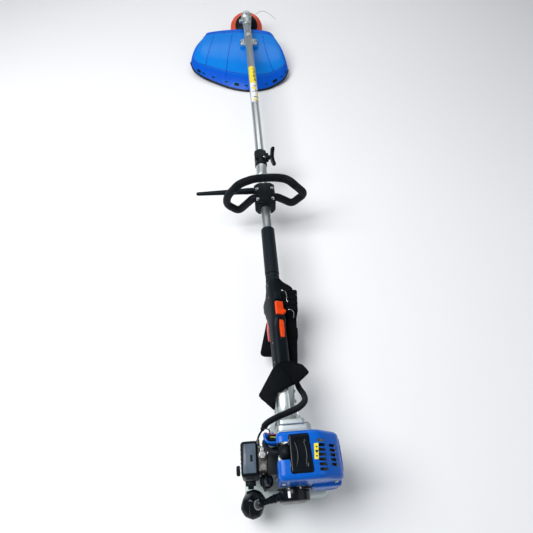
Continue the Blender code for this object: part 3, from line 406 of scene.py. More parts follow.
class Painter:
    """Builds one material's nodes."""

    def __init__(self, name):
        self.made = bpy.data.materials.new(name)
        self.made.use_nodes = True
        self.tree = self.made.node_tree
        self.shader = self.tree.nodes["Principled BSDF"]
        self.place = self.node("ShaderNodeTexCoord").outputs["Object"]

    def node(self, kind, **settings):
        """A node with its plain settings."""
        added = self.tree.nodes.new(kind)
        for key, value in settings.items():
            setattr(added, key, value)
        return added

    def put(self, value, socket):
        """Set a socket, or link an output to it."""
        if isinstance(value, bpy.types.NodeSocket):
            self.tree.links.new(value, socket)
        else:
            socket.default_value = value

    def step(self, kind, output, sockets, **settings):
        """A node with its sockets filled; gives one of its outputs."""
        made = self.node(kind, **settings)
        for key, value in sockets.items():
            self.put(value, made.inputs[key])
        return made.outputs[output]

    def dress(self, **sockets):
        """Fill sockets of the shader, named with _ for a space."""
        for key, value in sockets.items():
            self.put(value, self.shader.inputs[key.replace("_", " ")])

    def scaled(self, stretch):
        """Object coordinates, stretched."""
        return self.step("ShaderNodeMapping", "Vector", {"Vector": self.place, "Scale": stretch})

    def noise(self, scale, detail=3.0, vector=None, roughness=0.55):
        """Noise from 0 to 1."""
        return self.step("ShaderNodeTexNoise", "Fac", {"Vector": vector or self.place, "Scale": scale,
            "Detail": detail, "Roughness": roughness})

    def cells(self, scale):
        """Distance to the middle of small cells."""
        return self.step("ShaderNodeTexVoronoi", "Distance", {"Vector": self.place, "Scale": scale})

    def stripes(self, scale, axis):
        """Sine bands across an axis."""
        return self.step("ShaderNodeTexWave", "Fac", {"Vector": self.place, "Scale": scale},
            bands_direction=axis)

    def math(self, operation, first, second):
        """One arithmetic step."""
        return self.step("ShaderNodeMath", 0, {0: first, 1: second}, operation=operation)

    def span(self, value, low, high, start=0.0, end=1.0):
        """A value from start..end taken to low..high."""
        return self.step("ShaderNodeMapRange", "Result",
            {"Value": value, "From Min": start, "From Max": end, "To Min": low, "To Max": high})

    def mix(self, share, first, second):
        """A colour between two."""
        return self.step("ShaderNodeMix", "Result", {"Factor": share, "A": first, "B": second},
            data_type="RGBA")

    def attribute(self, name):
        """A value stored on the mesh's points."""
        return self.node("ShaderNodeAttribute", attribute_name=name).outputs["Fac"]

    def bump(self, height, strength, depth):
        """Surface relief from a height."""
        self.dress(Normal=self.step("ShaderNodeBump", "Normal",
            {"Strength": strength, "Distance": depth, "Height": height}))


def tone(colour, factor):
    """A colour made lighter or darker, as RGBA."""
    return (*(min(1.0, part * factor) for part in colour), 1.0)


def surface(name, colour, rough, metallic=0.0, spread=0.12, patch=40.0, grain=900.0, relief=0.15,
        depth=0.0002, stretch=(1.0, 1.0, 1.0), rough_spread=0.08, coat=0.0, dust=0.0, specular=0.5):
    """A moulded, cast or drawn surface: patchy colour, uneven gloss and a fine grain."""
    paint = Painter(name)
    vector = paint.scaled(stretch)
    patches = paint.noise(patch, 4.0, vector)
    base = paint.mix(paint.span(patches, 0.0, 1.0, 0.3, 0.7), tone(colour, 1 - spread),
        tone(colour, 1 + spread))
    if dust:
        marks = paint.span(paint.noise(patch * 4.3, 6.0, vector, 0.7), 0.0, dust, 0.52, 0.74)
        base = paint.mix(marks, base, (0.30, 0.31, 0.31, 1.0))
    shine = paint.span(paint.noise(patch * 2.1, 5.0, vector, 0.65), rough - rough_spread,
        rough + rough_spread, 0.3, 0.7)
    paint.dress(Base_Color=base, Roughness=shine, Metallic=metallic, Coat_Weight=coat,
        Coat_Roughness=0.08, Specular_IOR_Level=specular)
    paint.bump(paint.noise(grain, 2.0, vector), relief, depth)
    return paint.made


def leathery(name, colour, rough, cell=1400.0, relief=0.35, depth=0.0002, spread=0.12, specular=0.35):
    """Moulded plastic or rubber with a spark-eroded pebble grain."""
    paint = Painter(name)
    base = paint.mix(paint.span(paint.noise(35.0, 4.0), 0.0, 1.0, 0.3, 0.7), tone(colour, 1 - spread),
        tone(colour, 1 + spread))
    marks = paint.span(paint.noise(160.0, 6.0, None, 0.7), 0.0, 0.015, 0.52, 0.74)
    base = paint.mix(marks, base, (0.20, 0.22, 0.23, 1.0))
    pebble = paint.cells(cell)
    shine = paint.span(pebble, rough + 0.10, rough - 0.04, 0.1, 0.6)
    paint.dress(Base_Color=base, Roughness=shine, Specular_IOR_Level=specular)
    paint.bump(pebble, relief, depth)
    return paint.made


def woven(name, colour, thread=0.0011, sheen=0.25):
    """Plain weave cloth: two crossed sets of threads, with fuzz, and the raised threads lightened as a
    painted highlight.
    """
    paint = Painter(name)
    scale = 1.0 / (thread * 2 * math.pi) * 2.0
    warp = paint.stripes(scale, "X")
    weft = paint.stripes(scale, "Y")
    rise = paint.stripes(scale, "Z")
    weave = paint.math("MULTIPLY", paint.math("ADD", warp, rise), weft)
    fuzz = paint.noise(1800.0, 3.0)
    height = paint.math("ADD", weave, paint.math("MULTIPLY", fuzz, 0.6))
    patches = paint.noise(28.0, 4.0)
    base = paint.mix(paint.span(patches, 0.0, 1.0, 0.3, 0.7), tone(colour, 0.7), tone(colour, 1.35))
    # Painted highlight: the thread crowns are lightened 2.6 times.
    base = paint.mix(paint.span(weave, 0.0, 0.5, 0.0, 2.0), base, tone(colour, 2.6))
    paint.dress(Base_Color=base, Roughness=paint.span(fuzz, 0.75, 0.95), Sheen_Weight=sheen,
        Specular_IOR_Level=0.1, Sheen_Roughness=0.5)
    paint.bump(height, 0.6, 0.0004)
    return paint.made


def guard_plastic(name):
    """Glossy moulded blue, made darker towards the rim and over the ribs as painted shade where the guard
    turns away from the light.
    """
    paint = Painter(name)
    # The rim value is painted shade: the blue darkens towards the guard's edges and its steep rear band.
    rim = paint.attribute("rim")
    clouds = paint.span(paint.noise(14.0, 4.0), -0.12, 0.12, 0.3, 0.7)
    share = paint.math("ADD", rim, clouds)
    base = paint.mix(paint.span(share, 0.0, 1.0), (0.002, 0.200, 0.700, 1.0), (0.001, 0.092, 0.600, 1.0))
    scuffs = paint.span(paint.noise(90.0, 7.0, paint.scaled((1.0, 0.35, 1.0)), 0.7), 0.0, 0.04, 0.55,
        0.75)
    base = paint.mix(scuffs, base, (0.20, 0.50, 0.85, 1.0))
    shine = paint.span(paint.noise(60.0, 6.0, None, 0.7), 0.16, 0.30, 0.3, 0.7)
    paint.dress(Base_Color=base, Roughness=shine, Specular_IOR_Level=0.14)
    paint.bump(paint.noise(700.0, 3.0), 0.10, 0.0003)
    return paint.made


def drawn_tube(name, colour, rough):
    """Drawn aluminium tube: fine streaks along the shaft and faint scratches."""
    paint = Painter(name)
    along = paint.scaled((1.0, 0.02, 1.0))
    streaks = paint.noise(900.0, 4.0, along)
    patches = paint.noise(25.0, 3.0, paint.scaled((1.0, 0.3, 1.0)))
    base = paint.mix(paint.span(streaks, 0.0, 1.0, 0.3, 0.7), tone(colour, 0.88), tone(colour, 1.08))
    base = paint.mix(paint.span(patches, 0.0, 0.35, 0.35, 0.7), base, tone(colour, 0.8))
    shine = paint.span(paint.noise(300.0, 5.0, along), rough - 0.07, rough + 0.12, 0.3, 0.7)
    paint.dress(Base_Color=base, Roughness=shine, Metallic=1.0)
    paint.bump(streaks, 0.12, 0.00015)
    return paint.made


BLUE = surface("cover_blue", (0.001, 0.105, 0.520), 0.24, spread=0.10, patch=18.0, grain=500.0,
    relief=0.05, coat=0.12, dust=0.02, specular=0.16)
# A darker copy of the guard's blue: painted shade for the moulded ribs.
RIB_SHADE_BLUE = surface("rib_shade_blue", (0.001, 0.045, 0.420), 0.26, spread=0.10, patch=30.0, relief=0.08,
    specular=0.3)
GUARD = guard_plastic("guard_blue")
BLACK = leathery("black_plastic", (0.0028, 0.0066, 0.0100), 0.40, specular=0.12)
GLOSS_BLACK = surface("gloss_black", (0.0022, 0.0050, 0.0080), 0.16, spread=0.2, patch=60.0, relief=0.05,
    dust=0.01, specular=0.22)
RUBBER = leathery("black_rubber", (0.0035, 0.0062, 0.0090), 0.50, cell=1900.0, relief=0.25, specular=0.14)
FOAM = leathery("foam_rubber", (0.0040, 0.0100, 0.0145), 0.50, cell=2400.0, relief=0.5, specular=0.16)
CAST = surface("cast_aluminium", (0.520, 0.570, 0.580), 0.50, metallic=1.0, spread=0.10, patch=50.0,
    grain=650.0, relief=0.35, depth=0.0004, rough_spread=0.12)
TUBE_METAL = drawn_tube("tube_aluminium", (0.620, 0.670, 0.680), 0.34)
STEEL = surface("zinc_steel", (0.460, 0.475, 0.470), 0.26, metallic=1.0, spread=0.15, patch=120.0,
    grain=1200.0, relief=0.2)
DARK_STEEL = surface("dark_steel", (0.160, 0.155, 0.150), 0.45, metallic=1.0, spread=0.25, patch=90.0,
    relief=0.3)
ORANGE = surface("orange_plastic", (0.780, 0.060, 0.004), 0.36, spread=0.08, patch=80.0, relief=0.12,
    specular=0.25)
TRIGGER_RED = surface("trigger_red", (0.620, 0.085, 0.090), 0.40, spread=0.10, patch=80.0, relief=0.12)
RING_RED = surface("ring_red", (0.620, 0.070, 0.025), 0.34, spread=0.14, patch=40.0, relief=0.12,
    dust=0.12)
TANK = surface("milky_tank", (0.560, 0.640, 0.640), 0.34, spread=0.07, patch=20.0, relief=0.15)
GREY = surface("grey_plastic", (0.085, 0.115, 0.155), 0.28, spread=0.12, patch=60.0, relief=0.10,
    coat=0.15, specular=0.3)
CARB = surface("carburettor_metal", (0.085, 0.080, 0.078), 0.34, metallic=1.0, spread=0.2, patch=120.0,
    relief=0.4, depth=0.0004)
YELLOW = surface("sticker_yellow", (0.820, 0.680, 0.030), 0.35, spread=0.06, patch=90.0, relief=0.05)
INK = surface("sticker_ink", (0.020, 0.020, 0.018), 0.40, spread=0.2, patch=200.0, relief=0.05)
# This white also paints the highlight plate in the starter cup's window.
WHITE = surface("sticker_white_and_highlight", (0.760, 0.780, 0.790), 0.30, spread=0.05, patch=90.0, relief=0.05)
NYLON = surface("nylon_line", (0.520, 0.540, 0.530), 0.30, spread=0.08, patch=200.0, relief=0.1)
WIRE_RED = surface("wire_red", (0.300, 0.018, 0.014), 0.35, spread=0.1, patch=200.0, relief=0.1)
WIRE_LIME = surface("wire_lime", (0.420, 0.520, 0.040), 0.35, spread=0.1, patch=200.0, relief=0.1)
CLOTH = woven("harness_cloth", (0.0018, 0.0032, 0.0046), sheen=0.004)
WEBBING = woven("harness_webbing", (0.0014, 0.0020, 0.0030), thread=0.0016, sheen=0.002)


def finish(piece, paint, body, *nodes):
    """Material, body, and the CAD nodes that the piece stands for."""
    piece.data.materials.clear()
    piece.data.materials.append(paint)
    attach(piece, body)
    if nodes:
        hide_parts(*nodes)
    return piece


def keep_node(name, paint, edge=0.5, degrees=30):
    """A CAD node that stays: welded, its edges eased, with a better material."""
    node = frame["nodes"][name]
    node.data.materials.clear()
    node.data.materials.append(paint)
    for face in node.data.polygons:
        face.material_index = 0
        face.use_smooth = True
    weld = node.modifiers.new("weld", "WELD")
    weld.merge_threshold = 0.03 * MM
    if edge:
        ease = node.modifiers.new("eased_edges", "BEVEL")
        ease.width = edge * MM
        ease.segments = 2
        ease.limit_method = "ANGLE"
        ease.angle_limit = math.radians(degrees)
    normals = node.modifiers.new("normals", "WEIGHTED_NORMAL")
    normals.keep_sharp = True
    return node


# -------------------------------------------------------------------------- cutting line


def make_cutting_line():
    """The one free cord: a stiff line that bows out of the spool."""
    start = on_spool_axis(67) + LINE_SIDE * (SPOOL_R + GAP)
    steps = [ORIGIN, (14, 12, 4), (32, 16, 5), (52, 8, 1), (70, -10, -5), (80, -24, -9)]
    route = smooth_path([SHAFT @ (start + Vector(step)) for step in steps], 6)
    curve = bpy.data.curves.new("cutting_line_curve", "CURVE")
    curve.dimensions = "3D"
    curve.bevel_depth = 1.2 * MM
    curve.bevel_resolution = 4
    curve.use_fill_caps = True
    spline = curve.splines.new("POLY")
    spline.points.add(len(route) - 1)
    for point, place in zip(spline.points, route):
        point.co = (*place, 1.0)
    line = bpy.data.objects.new("nylon_line", curve)
    bpy.context.scene.collection.objects.link(line)
    finish(line, NYLON, "spool", "cutting_line")


make_cutting_line()


# -------------------------------------------------------------------------------- engine

COVER_LOW = Vector((-28, 17.8, -12))
COVER_HIGH = Vector((83.5, 94.8, 98))
SHOULDER = (44, 62)    # where the cover's right shoulder starts across, and ends down


def make_engine_cover():
    """Blue shroud: an extruded arch with a sloped shoulder, hollow, with vents and openings."""
    left, right, low, top = COVER_LOW.x, COVER_HIGH.x, COVER_LOW.z, COVER_HIGH.z
    arch = rounded([(left, low), (left, top), (SHOULDER[0], top), (right, SHOULDER[1]), (right, low)], 12,
        6)
    middle = (COVER_LOW.y + COVER_HIGH.y) / 2
    shell = facing("engine_cover", arch, middle, COVER_HIGH.y - COVER_LOW.y, bevel=9, segments=5)
    skirt = facing("cover_skirt", rounded([(30, -12), (42, -34), (right, -30), (right, 30), (30, 30)], 8,
        6), 50, 74, bevel=8, segments=5)
    lip = level("cover_lip", rounded([(-29, 79), (-43, 80), (-48.5, 90), (-46.5, 100), (-30, 102),
        (-24, 94.5), (-24, 79)], 6, 6), 69, 24, bevel=3, segments=4)
    lip_room = level("lip_room", rounded([(-10, 81.5), (-40.5, 82.5), (-45.5, 90.5), (-44, 130),
        (-10, 130)], 5, 5), 72, 26)
    carve(lip, [lip_room])
    carve(shell, [skirt], "UNION")
    tools = [
        block("cover_room", COVER_LOW + Vector((2.2, 2.2, -20)),
        (SHOULDER[0] + 6, COVER_HIGH.y - 2.2, top - 2.4), 8),
        block("cover_room_right", (30, COVER_LOW.y + 2.2, -32),
        (right - 2.2, COVER_HIGH.y - 2.2, SHOULDER[1] - 2), 8),
        facing("cover_room_slope", [(30, 40), (30, top - 2.4), (SHOULDER[0] - 1, top - 2.4),
        (right - 2.4, SHOULDER[1] - 1), (right - 2.4, 40)], middle, COVER_HIGH.y - COVER_LOW.y - 18,
        bevel=3),
        block("cover_bottom", (-50, 0, -60), (29, 120, 0)),
        block("skirt_room", (32, 15.2, -60), (right - 2.2, 84.8, 20), 6),
        block("skirt_front", (25, 78, -60), (100, 120, -11)),
        level("saddle_hole", rounded([(-8, 27), (30, 27), (28, 88), (-7.4, 88)], 4), 98, 20),
        block("side_low", (-40, 31, -60), (-10, 130, 46), 4),
        block("side_high", (-40, 48, 36), (-10, 100.5, 88), 6),
        block("boot_hole", (-40, 49, 60), (0, 77, 112), 5),
        shaft_rod("fan_hole", 70, 120, 43, sides=64),
        shaft_rod("starter_hole", 0, 30, 26.6, sides=48),
        shaft_rod("cup_room", 0, 40, 31.2, sides=48),
        facing("outlet", rounded([(58, -13), (74, -7), (73.5, -1), (59, -6)], 2.2), 12, 24)]
    carve(shell, tools)
    vents = []
    for label, count, first, left, right_end, z in (("a", 7, 28.9, 39.6, 53.4, 95),
            ("b", 5, 36.9, 61.2, 73.8, 80)):
        for i in range(count):
            station = first + 7.4 * i
            outline = oblong(left, station, right_end, station + 4.9, 1.2, 3)
            vents.append(level("vent", outline, z, 35))
    carve(shell, vents)
    brows = []
    for i in range(3):
        z = 20 + 17 * i
        brows.append(tube("brow", [(right - 0.5, 32, z), (right, 45, z), (right, 70, z),
            (right - 0.5, 83, z)], 1.2, 10))
    pieces = merge("cover_ribs", brows + [lip])
    finish(shell, BLUE, "root", "cylinder_cover")
    finish(pieces, BLUE, "root")
    screen = block("outlet_screen", (55, 15.6, -16), (77, 16.8, 2), 0.4)
    finish(screen, DARK_STEEL, "root")
    screws = [
        screw("a", (-19, 18, 62), -Y_AXIS),
        screw("b", (70, 18, 48), -Y_AXIS),
        screw("c", (-19, 94.6, 79), Y_AXIS),
        screw("d", (69, 94.6, 46), Y_AXIS)]
    finish(merge("cover_screws", screws), STEEL, "root")
    label = level("cover_sticker", rounded([(32.2, 46.2), (39.2, 46.2), (42, 70.8), (34.5, 70.8)], 0.8,
        3), 98.15, 0.3)
    finish(label, YELLOW, "root")
    marks = [block("mark", (x, y, 98.3), (x + w, y + 2.2, 98.45))
        for x, y, w in ((35.5, 50, 2.8), (36, 56, 3.2), (35.2, 58, 5), (36.8, 64, 3))]
    finish(merge("cover_sticker_marks", marks), INK, "root")


def make_plug_saddle():
    """Black saddle over the spark plug, with a raised rim and two bowed ridges."""
    outline = rounded([(-7, 28.4), (29, 27.8), (26.8, 86), (-6.2, 86.6)], 4, 6)
    base = level("plug_saddle", outline, 95, 11, bevel=2.2, segments=4)
    hollow = level("saddle_hollow", rounded([(0, 34.5), (22, 34.5), (20.5, 80), (0.5, 80)], 4), 101, 5,
        bevel=1)
    carve(base, [hollow])
    ridges = []
    for x, bow in ((3.5, 4.5), (19, 3.5)):
        route = [(x + bow * math.sin(math.pi * t / 12) - 1.5, 37 + 40 * t / 12, 98.8) for t in range(13)]
        widths = [0.6 + 1.7 * math.sin(math.pi * t / 12) ** 0.5 for t in range(13)]
        ridges.append(tube("ridge", smooth_path(route, 2), [widths[min(12, i // 2)] for i in range(25)],
            14))
    carve(base, ridges, "UNION")
    finish(base, GLOSS_BLACK, "root", "plug_cover")


def make_plug_lead():
    """Rubber boot with its sleeve, and the lead that curls down to the coil."""
    station = 63
    profile = [(0, 0), (4, 0.2), (7.8, 1.4), (10.6, 3.6), (12.6, 7), (13.4, 11), (13, 14), (11.2, 17.2),
        (9.8, 18.2), (0, 19)]
    boot = lathe("boot", profile, (-24, station, 83.5), X_AXIS, 48)
    sleeve = rod("sleeve", (0, station, 76.5), (0, station, 88.5), 8.5, edge=1.2)
    lead = tube("lead", smooth_path([(-20, station, 83), (-34, 65.5, 81.5), (-44.5, 76, 72),
        (-47, 85, 62), (-42, 93.5, 54.5)], 6), 4.2, 18)
    finish(merge("spark_plug_boot", [boot, sleeve, lead]), RUBBER, "root", "plug_boot")


def make_heat_deflector():
    """Heat deflector plate between cylinder and carburettor, with folded edges."""
    sheet = level("heat_deflector", rounded([(-43.5, 37), (-21.5, 35), (-21.5, 79), (-33, 80),
        (-43.5, 69)], 5), 47.8, 1.6, bevel=0.4)
    lip = block("deflector_lip", (-43, 36.5, 30), (-41.4, 69, 48), 0.6)
    finish(merge("heat_deflector", [sheet, lip]), RUBBER, "root")


def make_air_filter():
    """Filter case with a glossy panel, its seam, knob, and the choke lever."""
    lid = block("filter_lid", (-90, 36.2, -17), (-58.8, 95, 44), 6, 5)
    panel_hole = level("panel_hole", rounded([(-86.5, 41.5), (-63.5, 41.5), (-62.5, 90), (-84, 90)], 2),
        44, 3, bevel=0.4)
    seam_tool = block("lid_seam", (-61.8, 30, -20), (-61, 100, 50))
    core = block("lid_core", (-88.5, 38, -15.5), (-60, 93.5, 42), 4)
    carve(lid, [panel_hole, seam_tool])
    carve(lid, [core], "UNION")
    finish(lid, BLACK, "root", "filter_cover")
    panel = level("filter_panel", rounded([(-86.2, 41.8), (-63.8, 41.8), (-62.8, 89.7), (-83.7, 89.7)],
        1.8), 43.2, 1.2, bevel=0.4)
    groove = block("panel_groove", (-79, 38, 43.4), (-78, 93, 45))
    recess = level("panel_recess", oblong(-73.5, 60, -69, 71, 1, 3), 44, 2)
    carve(panel, [groove, recess])
    finish(panel, GREY, "root")
    # A black block in the panel's recess is painted shade that darkens the hollow.
    finish(block("panel_recess_shade", (-73.5, 60, 43.4), (-69, 71, 44), 0.2), BLACK, "root")
    ribs = [block("lid_rib", (-90.8, 44.5 + 7.5 * i, -10), (-88, 46.2 + 7.5 * i, 34), 0.7)
        for i in range(6)]
    finish(merge("filter_ribs", ribs), BLACK, "root")
    keep_node("filter_base", BLACK, 0.4)

    def grip(radius, height, angle):
        return radius * (1.0 + 0.06 * math.cos(14 * angle)) if height > 0.8 else radius
    knob = lathe("filter_thumb_knob", [(0, 0), (7.8, 0), (8.2, 1.2), (8, 5), (6.6, 6.5), (4, 6.2),
        (0, 5.8)], (-93.1, 52, 10), -X_AXIS, 84, flute=grip)
    finish(knob, BLACK, "filter_screw", "filter_knob")
    outline = rounded([(20.5, 10.5), (20.5, 14), (27, 16.5), (34, 16.5), (34.5, 8), (27, 8), (24, 9)],
        1.4)
    lever = upright("choke_arm", outline, -75, 10, bevel=1.2)
    barrel = rod("choke_barrel", (-84, 30, 12), (-66, 30, 12), 4.5, edge=0.6)
    finish(carve(lever, [barrel], "UNION"), BLACK, "choke", "choke_lever")


def make_carburettor():
    """Carburettor with its fittings, fuel hoses, primer and coil."""
    keep_node("carburettor", CARB, 0.8)
    keep_node("throttle_barrel", STEEL, 0.4)
    keep_node("insulator_block", BLACK, 0.6)
    bits = [
        rod("pump_cap", (-51.5, 50, 44), (-51.5, 50, 47.5), 6.2, edge=0.8),
        rod("cable_post", (-56, 80, 46), (-56, 80, 56), 2.4, edge=0.4),
        screw("carb_screw_a", (-47.5, 45.5, 45.8), Z_AXIS, 2.2, 1.6),
        screw("carb_screw_b", (-47.5, 80, 45.8), Z_AXIS, 2.2, 1.6),
        screw("carb_screw_c", (-56.5, 45.5, 45.8), Z_AXIS, 2.2, 1.6),
        rod("idle_screw", (-51.5, 40, 30), (-51.5, 43, 30), 3, edge=0.4)]
    finish(merge("carburettor_fittings", bits), DARK_STEEL, "root")
    hose = [
        tube("fuel_hose", smooth_path([(-48, 42, 18), (-45, 30, 16), (-42, 26, 2), (-40, 27, -18),
        (-40, 30, -45)], 6), 2.2, 14),
        tube("return_hose", smooth_path([(-54, 42, 20), (-53, 27, 19), (-52, 21, 5), (-50, 20, -15),
        (-49, 27, -45)], 6), 2, 14)]
    finish(merge("fuel_hoses", hose), RUBBER, "root")
    seat_axis = -Vector(JOINTS["primer_press"]["axis"])
    seat = Vector((-47, 35.5, -6))
    rim = lathe("primer_seat", [(0, 3), (9.4, 3), (9.4, 9.8), (10.4, 10.6), (11.6, 10.4), (12.5, 9.2),
        (12.5, 1.6), (11.2, 0), (0, 0)], seat, seat_axis, 48)
    finish(rim, GLOSS_BLACK, "root", "primer_base")
    dome = lathe("primer_dome", [(0, 16.8), (2.2, 16.6), (4.4, 15.6), (6.2, 14), (7.4, 12.2), (7.9, 10.6),
        (8.6, 10), (9, 8.8), (8.8, 8.2), (0, 8.2)], seat, seat_axis, 48)
    finish(dome, GREY, "primer", "primer_bulb")
    keep_node("ignition_coil", BLACK, 1)


def make_wires():
    """Thin leads from the coil into the cable conduit's end."""
    runs = [("wire_red", WIRE_RED, [(-25, 96, 60), (-29, 97.5, 64.5), (-37, 99, 61), (-43, 106, 44)]),
        ("wire_lime", WIRE_LIME, [(-24, 90.5, 60), (-27.5, 92.5, 64), (-36, 95, 60), (-43, 105, 43)]),
        ("wire_black", BLACK, [(-40, 93, 53), (-36, 100, 60), (-38, 108, 58), (-47, 113, 46)])]
    for name, paint, route in runs:
        finish(tube(name, smooth_path(route, 8), 1, 10), paint, "root")
    sheath = block("wire_sheath", (-40, 86.5, 54.5), (-22.5, 98.5, 61), 2)
    finish(sheath, RUBBER, "root")
    clips = [
        block("terminal_a", (-35, 100, 52), (-31, 105, 54.5), 0.6),
        block("terminal_b", (-32, 94, 52), (-28.5, 98.5, 54.5), 0.6)]
    finish(merge("coil_terminals", clips), STEEL, "root")


def make_tank():
    """Milky blow-moulded tank with its seam, filler neck and cap."""
    low = Vector((-88, 7, -102))
    high = Vector((70, 85, -42))
    tank = block("fuel_cell", low, high, 14, 7)
    pocket = rod("pocket", FILLER_POINT, FILLER_POINT + FILLER_AXIS * 70, 24, edge=0, sides=64)
    carve(tank, [pocket])
    neck = lathe("neck", [(0, -4), (13.5, -4), (13.5, 28), (9, 28), (9, 0), (0, 0)], FILLER_POINT,
        FILLER_AXIS, 48)
    carve(tank, [neck], "UNION")
    middle = (low.z + high.z) / 2
    ring = oblong(low.x, low.y, high.x, high.y, 20, 8)
    seam = tube("tank_seam", resample([(x, y, middle) for x, y in ring], 4, True), 1.1, 10, True)
    finish(tank, TANK, "root", "fuel_tank")
    finish(seam, TANK, "root")

    def facets(radius, height, angle):
        wave = abs(math.sin(4 * angle))
        return radius * (1.0 - 0.045 * wave) if radius > 15 and height > 3 else radius
    cap = lathe("tank_cap", [(0, 35.5), (8.5, 35.3), (15.8, 34.3), (19.4, 32), (21.2, 28), (21.9, 22),
        (21.9, 7.5), (20.8, 4), (15, 4), (14.2, 5), (14.2, 28.8), (0, 28.8)], FILLER_POINT, FILLER_AXIS,
        96, flute=facets)
    bar = tube("cap_bar", [FILLER_POINT + FILLER_AXIS * 35 + side * X_AXIS.cross(FILLER_AXIS)
        for side in (-13.5, -6, 6, 13.5)], [1.6, 2.8, 2.8, 1.6], 14)
    finish(carve(cap, [bar], "UNION"), GLOSS_BLACK, "cap", "fuel_cap")


def make_starter():
    """Recoil starter: cup with windows and screws, a white plate in one window as a painted highlight,
    rope guide, rope and T-grip.
    """
    cup = [(0, -5), (15, -5), (23.5, -4.4), (26.5, -2.8), (27.5, 0), (27.5, 14), (28.2, 14.6),
        (30.3, 14.8), (30.3, 17.4), (25, 17.4), (25, -2.5), (3, -2.5), (3, 9), (0, 9)]
    housing = lathe("starter_cup", cup, ORIGIN, Y_AXIS, 72)
    guide = lathe("guide", [(0, 0), (7.4, 0), (7, 6), (6.4, 10.5), (7.2, 12), (7.4, 14), (0, 14)],
        PULL_START - PULL_AXIS * 14.5, PULL_AXIS, 40)
    carve(housing, [guide], "UNION")
    tools = [rod("rope_hole", PULL_START - PULL_AXIS * 22, PULL_START + PULL_AXIS * 10, 2.2, sides=20)]
    highlight_window = 112
    for angle in (highlight_window, 215, 240, 265, 290, 315):
        tools.append(plate("window", oblong(1, -2.6, 11.8, 2.6, 1, 3), spoke(angle) * 26.2, Y_AXIS,
            spoke(angle + 90), 6))
    for i in range(4):
        radius = 8 + 4 * i
        tools.append(shaft_ring("groove", [(radius, -6), (radius + 1.2, -6), (radius + 1.2, -4.4),
            (radius, -4.4)], 64))
    carve(housing, tools)
    finish(housing, GLOSS_BLACK, "root", "starter_housing")
    bolts = [screw("cup_screw", Y_AXIS * 15 + spoke(angle) * 28.9, -Y_AXIS, 1.9, 1.6)
        for angle in (70, 110, 250, 290)]
    finish(merge("starter_screws", bolts), STEEL, "root")
    keep_node("starter_pulley", BLACK, 0.3)
    # A white plate in one window is a painted highlight: it stands for the light the glossy cup reflects
    # there.
    painted_highlight = plate("cup_painted_highlight", oblong(1.4, -2.2, 11.4, 2.2, 0.8, 3), spoke(highlight_window) * 26.4, Y_AXIS,
        spoke(highlight_window + 90), 1.6)
    finish(painted_highlight, WHITE, "root")
    neck_end = PULL_START + PULL_AXIS * 23.5
    neck = lathe("pull_neck", [(0, 0.3), (6.4, 0.3), (6, 6), (5, 10), (4.9, 19), (5.8, 25), (0, 26.2)],
        PULL_START, PULL_AXIS, 40)
    bar_axis = Vector((0.17, 0, 0.985)).normalized()
    middle = neck_end + PULL_AXIS * 3
    bow = [middle + bar_axis * h + PULL_AXIS * (3.5 - abs(h / 18) ** 2 * 5)
        for h in (-18, -16.5, -12, -6, 0, 6, 12, 16.5, 18)]
    bar = tube("pull_bar", smooth_path(bow, 3), [r for r in (3, 5.2, 7.2, 8, 8.2, 8, 7.2, 5.2)
        for _ in range(3)] + [3], 24, flat=0.8, up=PULL_AXIS)
    finish(carve(neck, [bar], "UNION"), GLOSS_BLACK, "grip", "starter_grip")
    near = PULL_START - PULL_AXIS * 12
    far = PULL_START + PULL_AXIS * 9
    route = [near.lerp(far, t / 40) for t in range(41)]
    rope = tube("starter_rope", route, [1.7 + 0.18 * math.sin(1.3 * i) for i in range(41)], 12)
    rope.data.materials.append(WEBBING)
    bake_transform(rope)


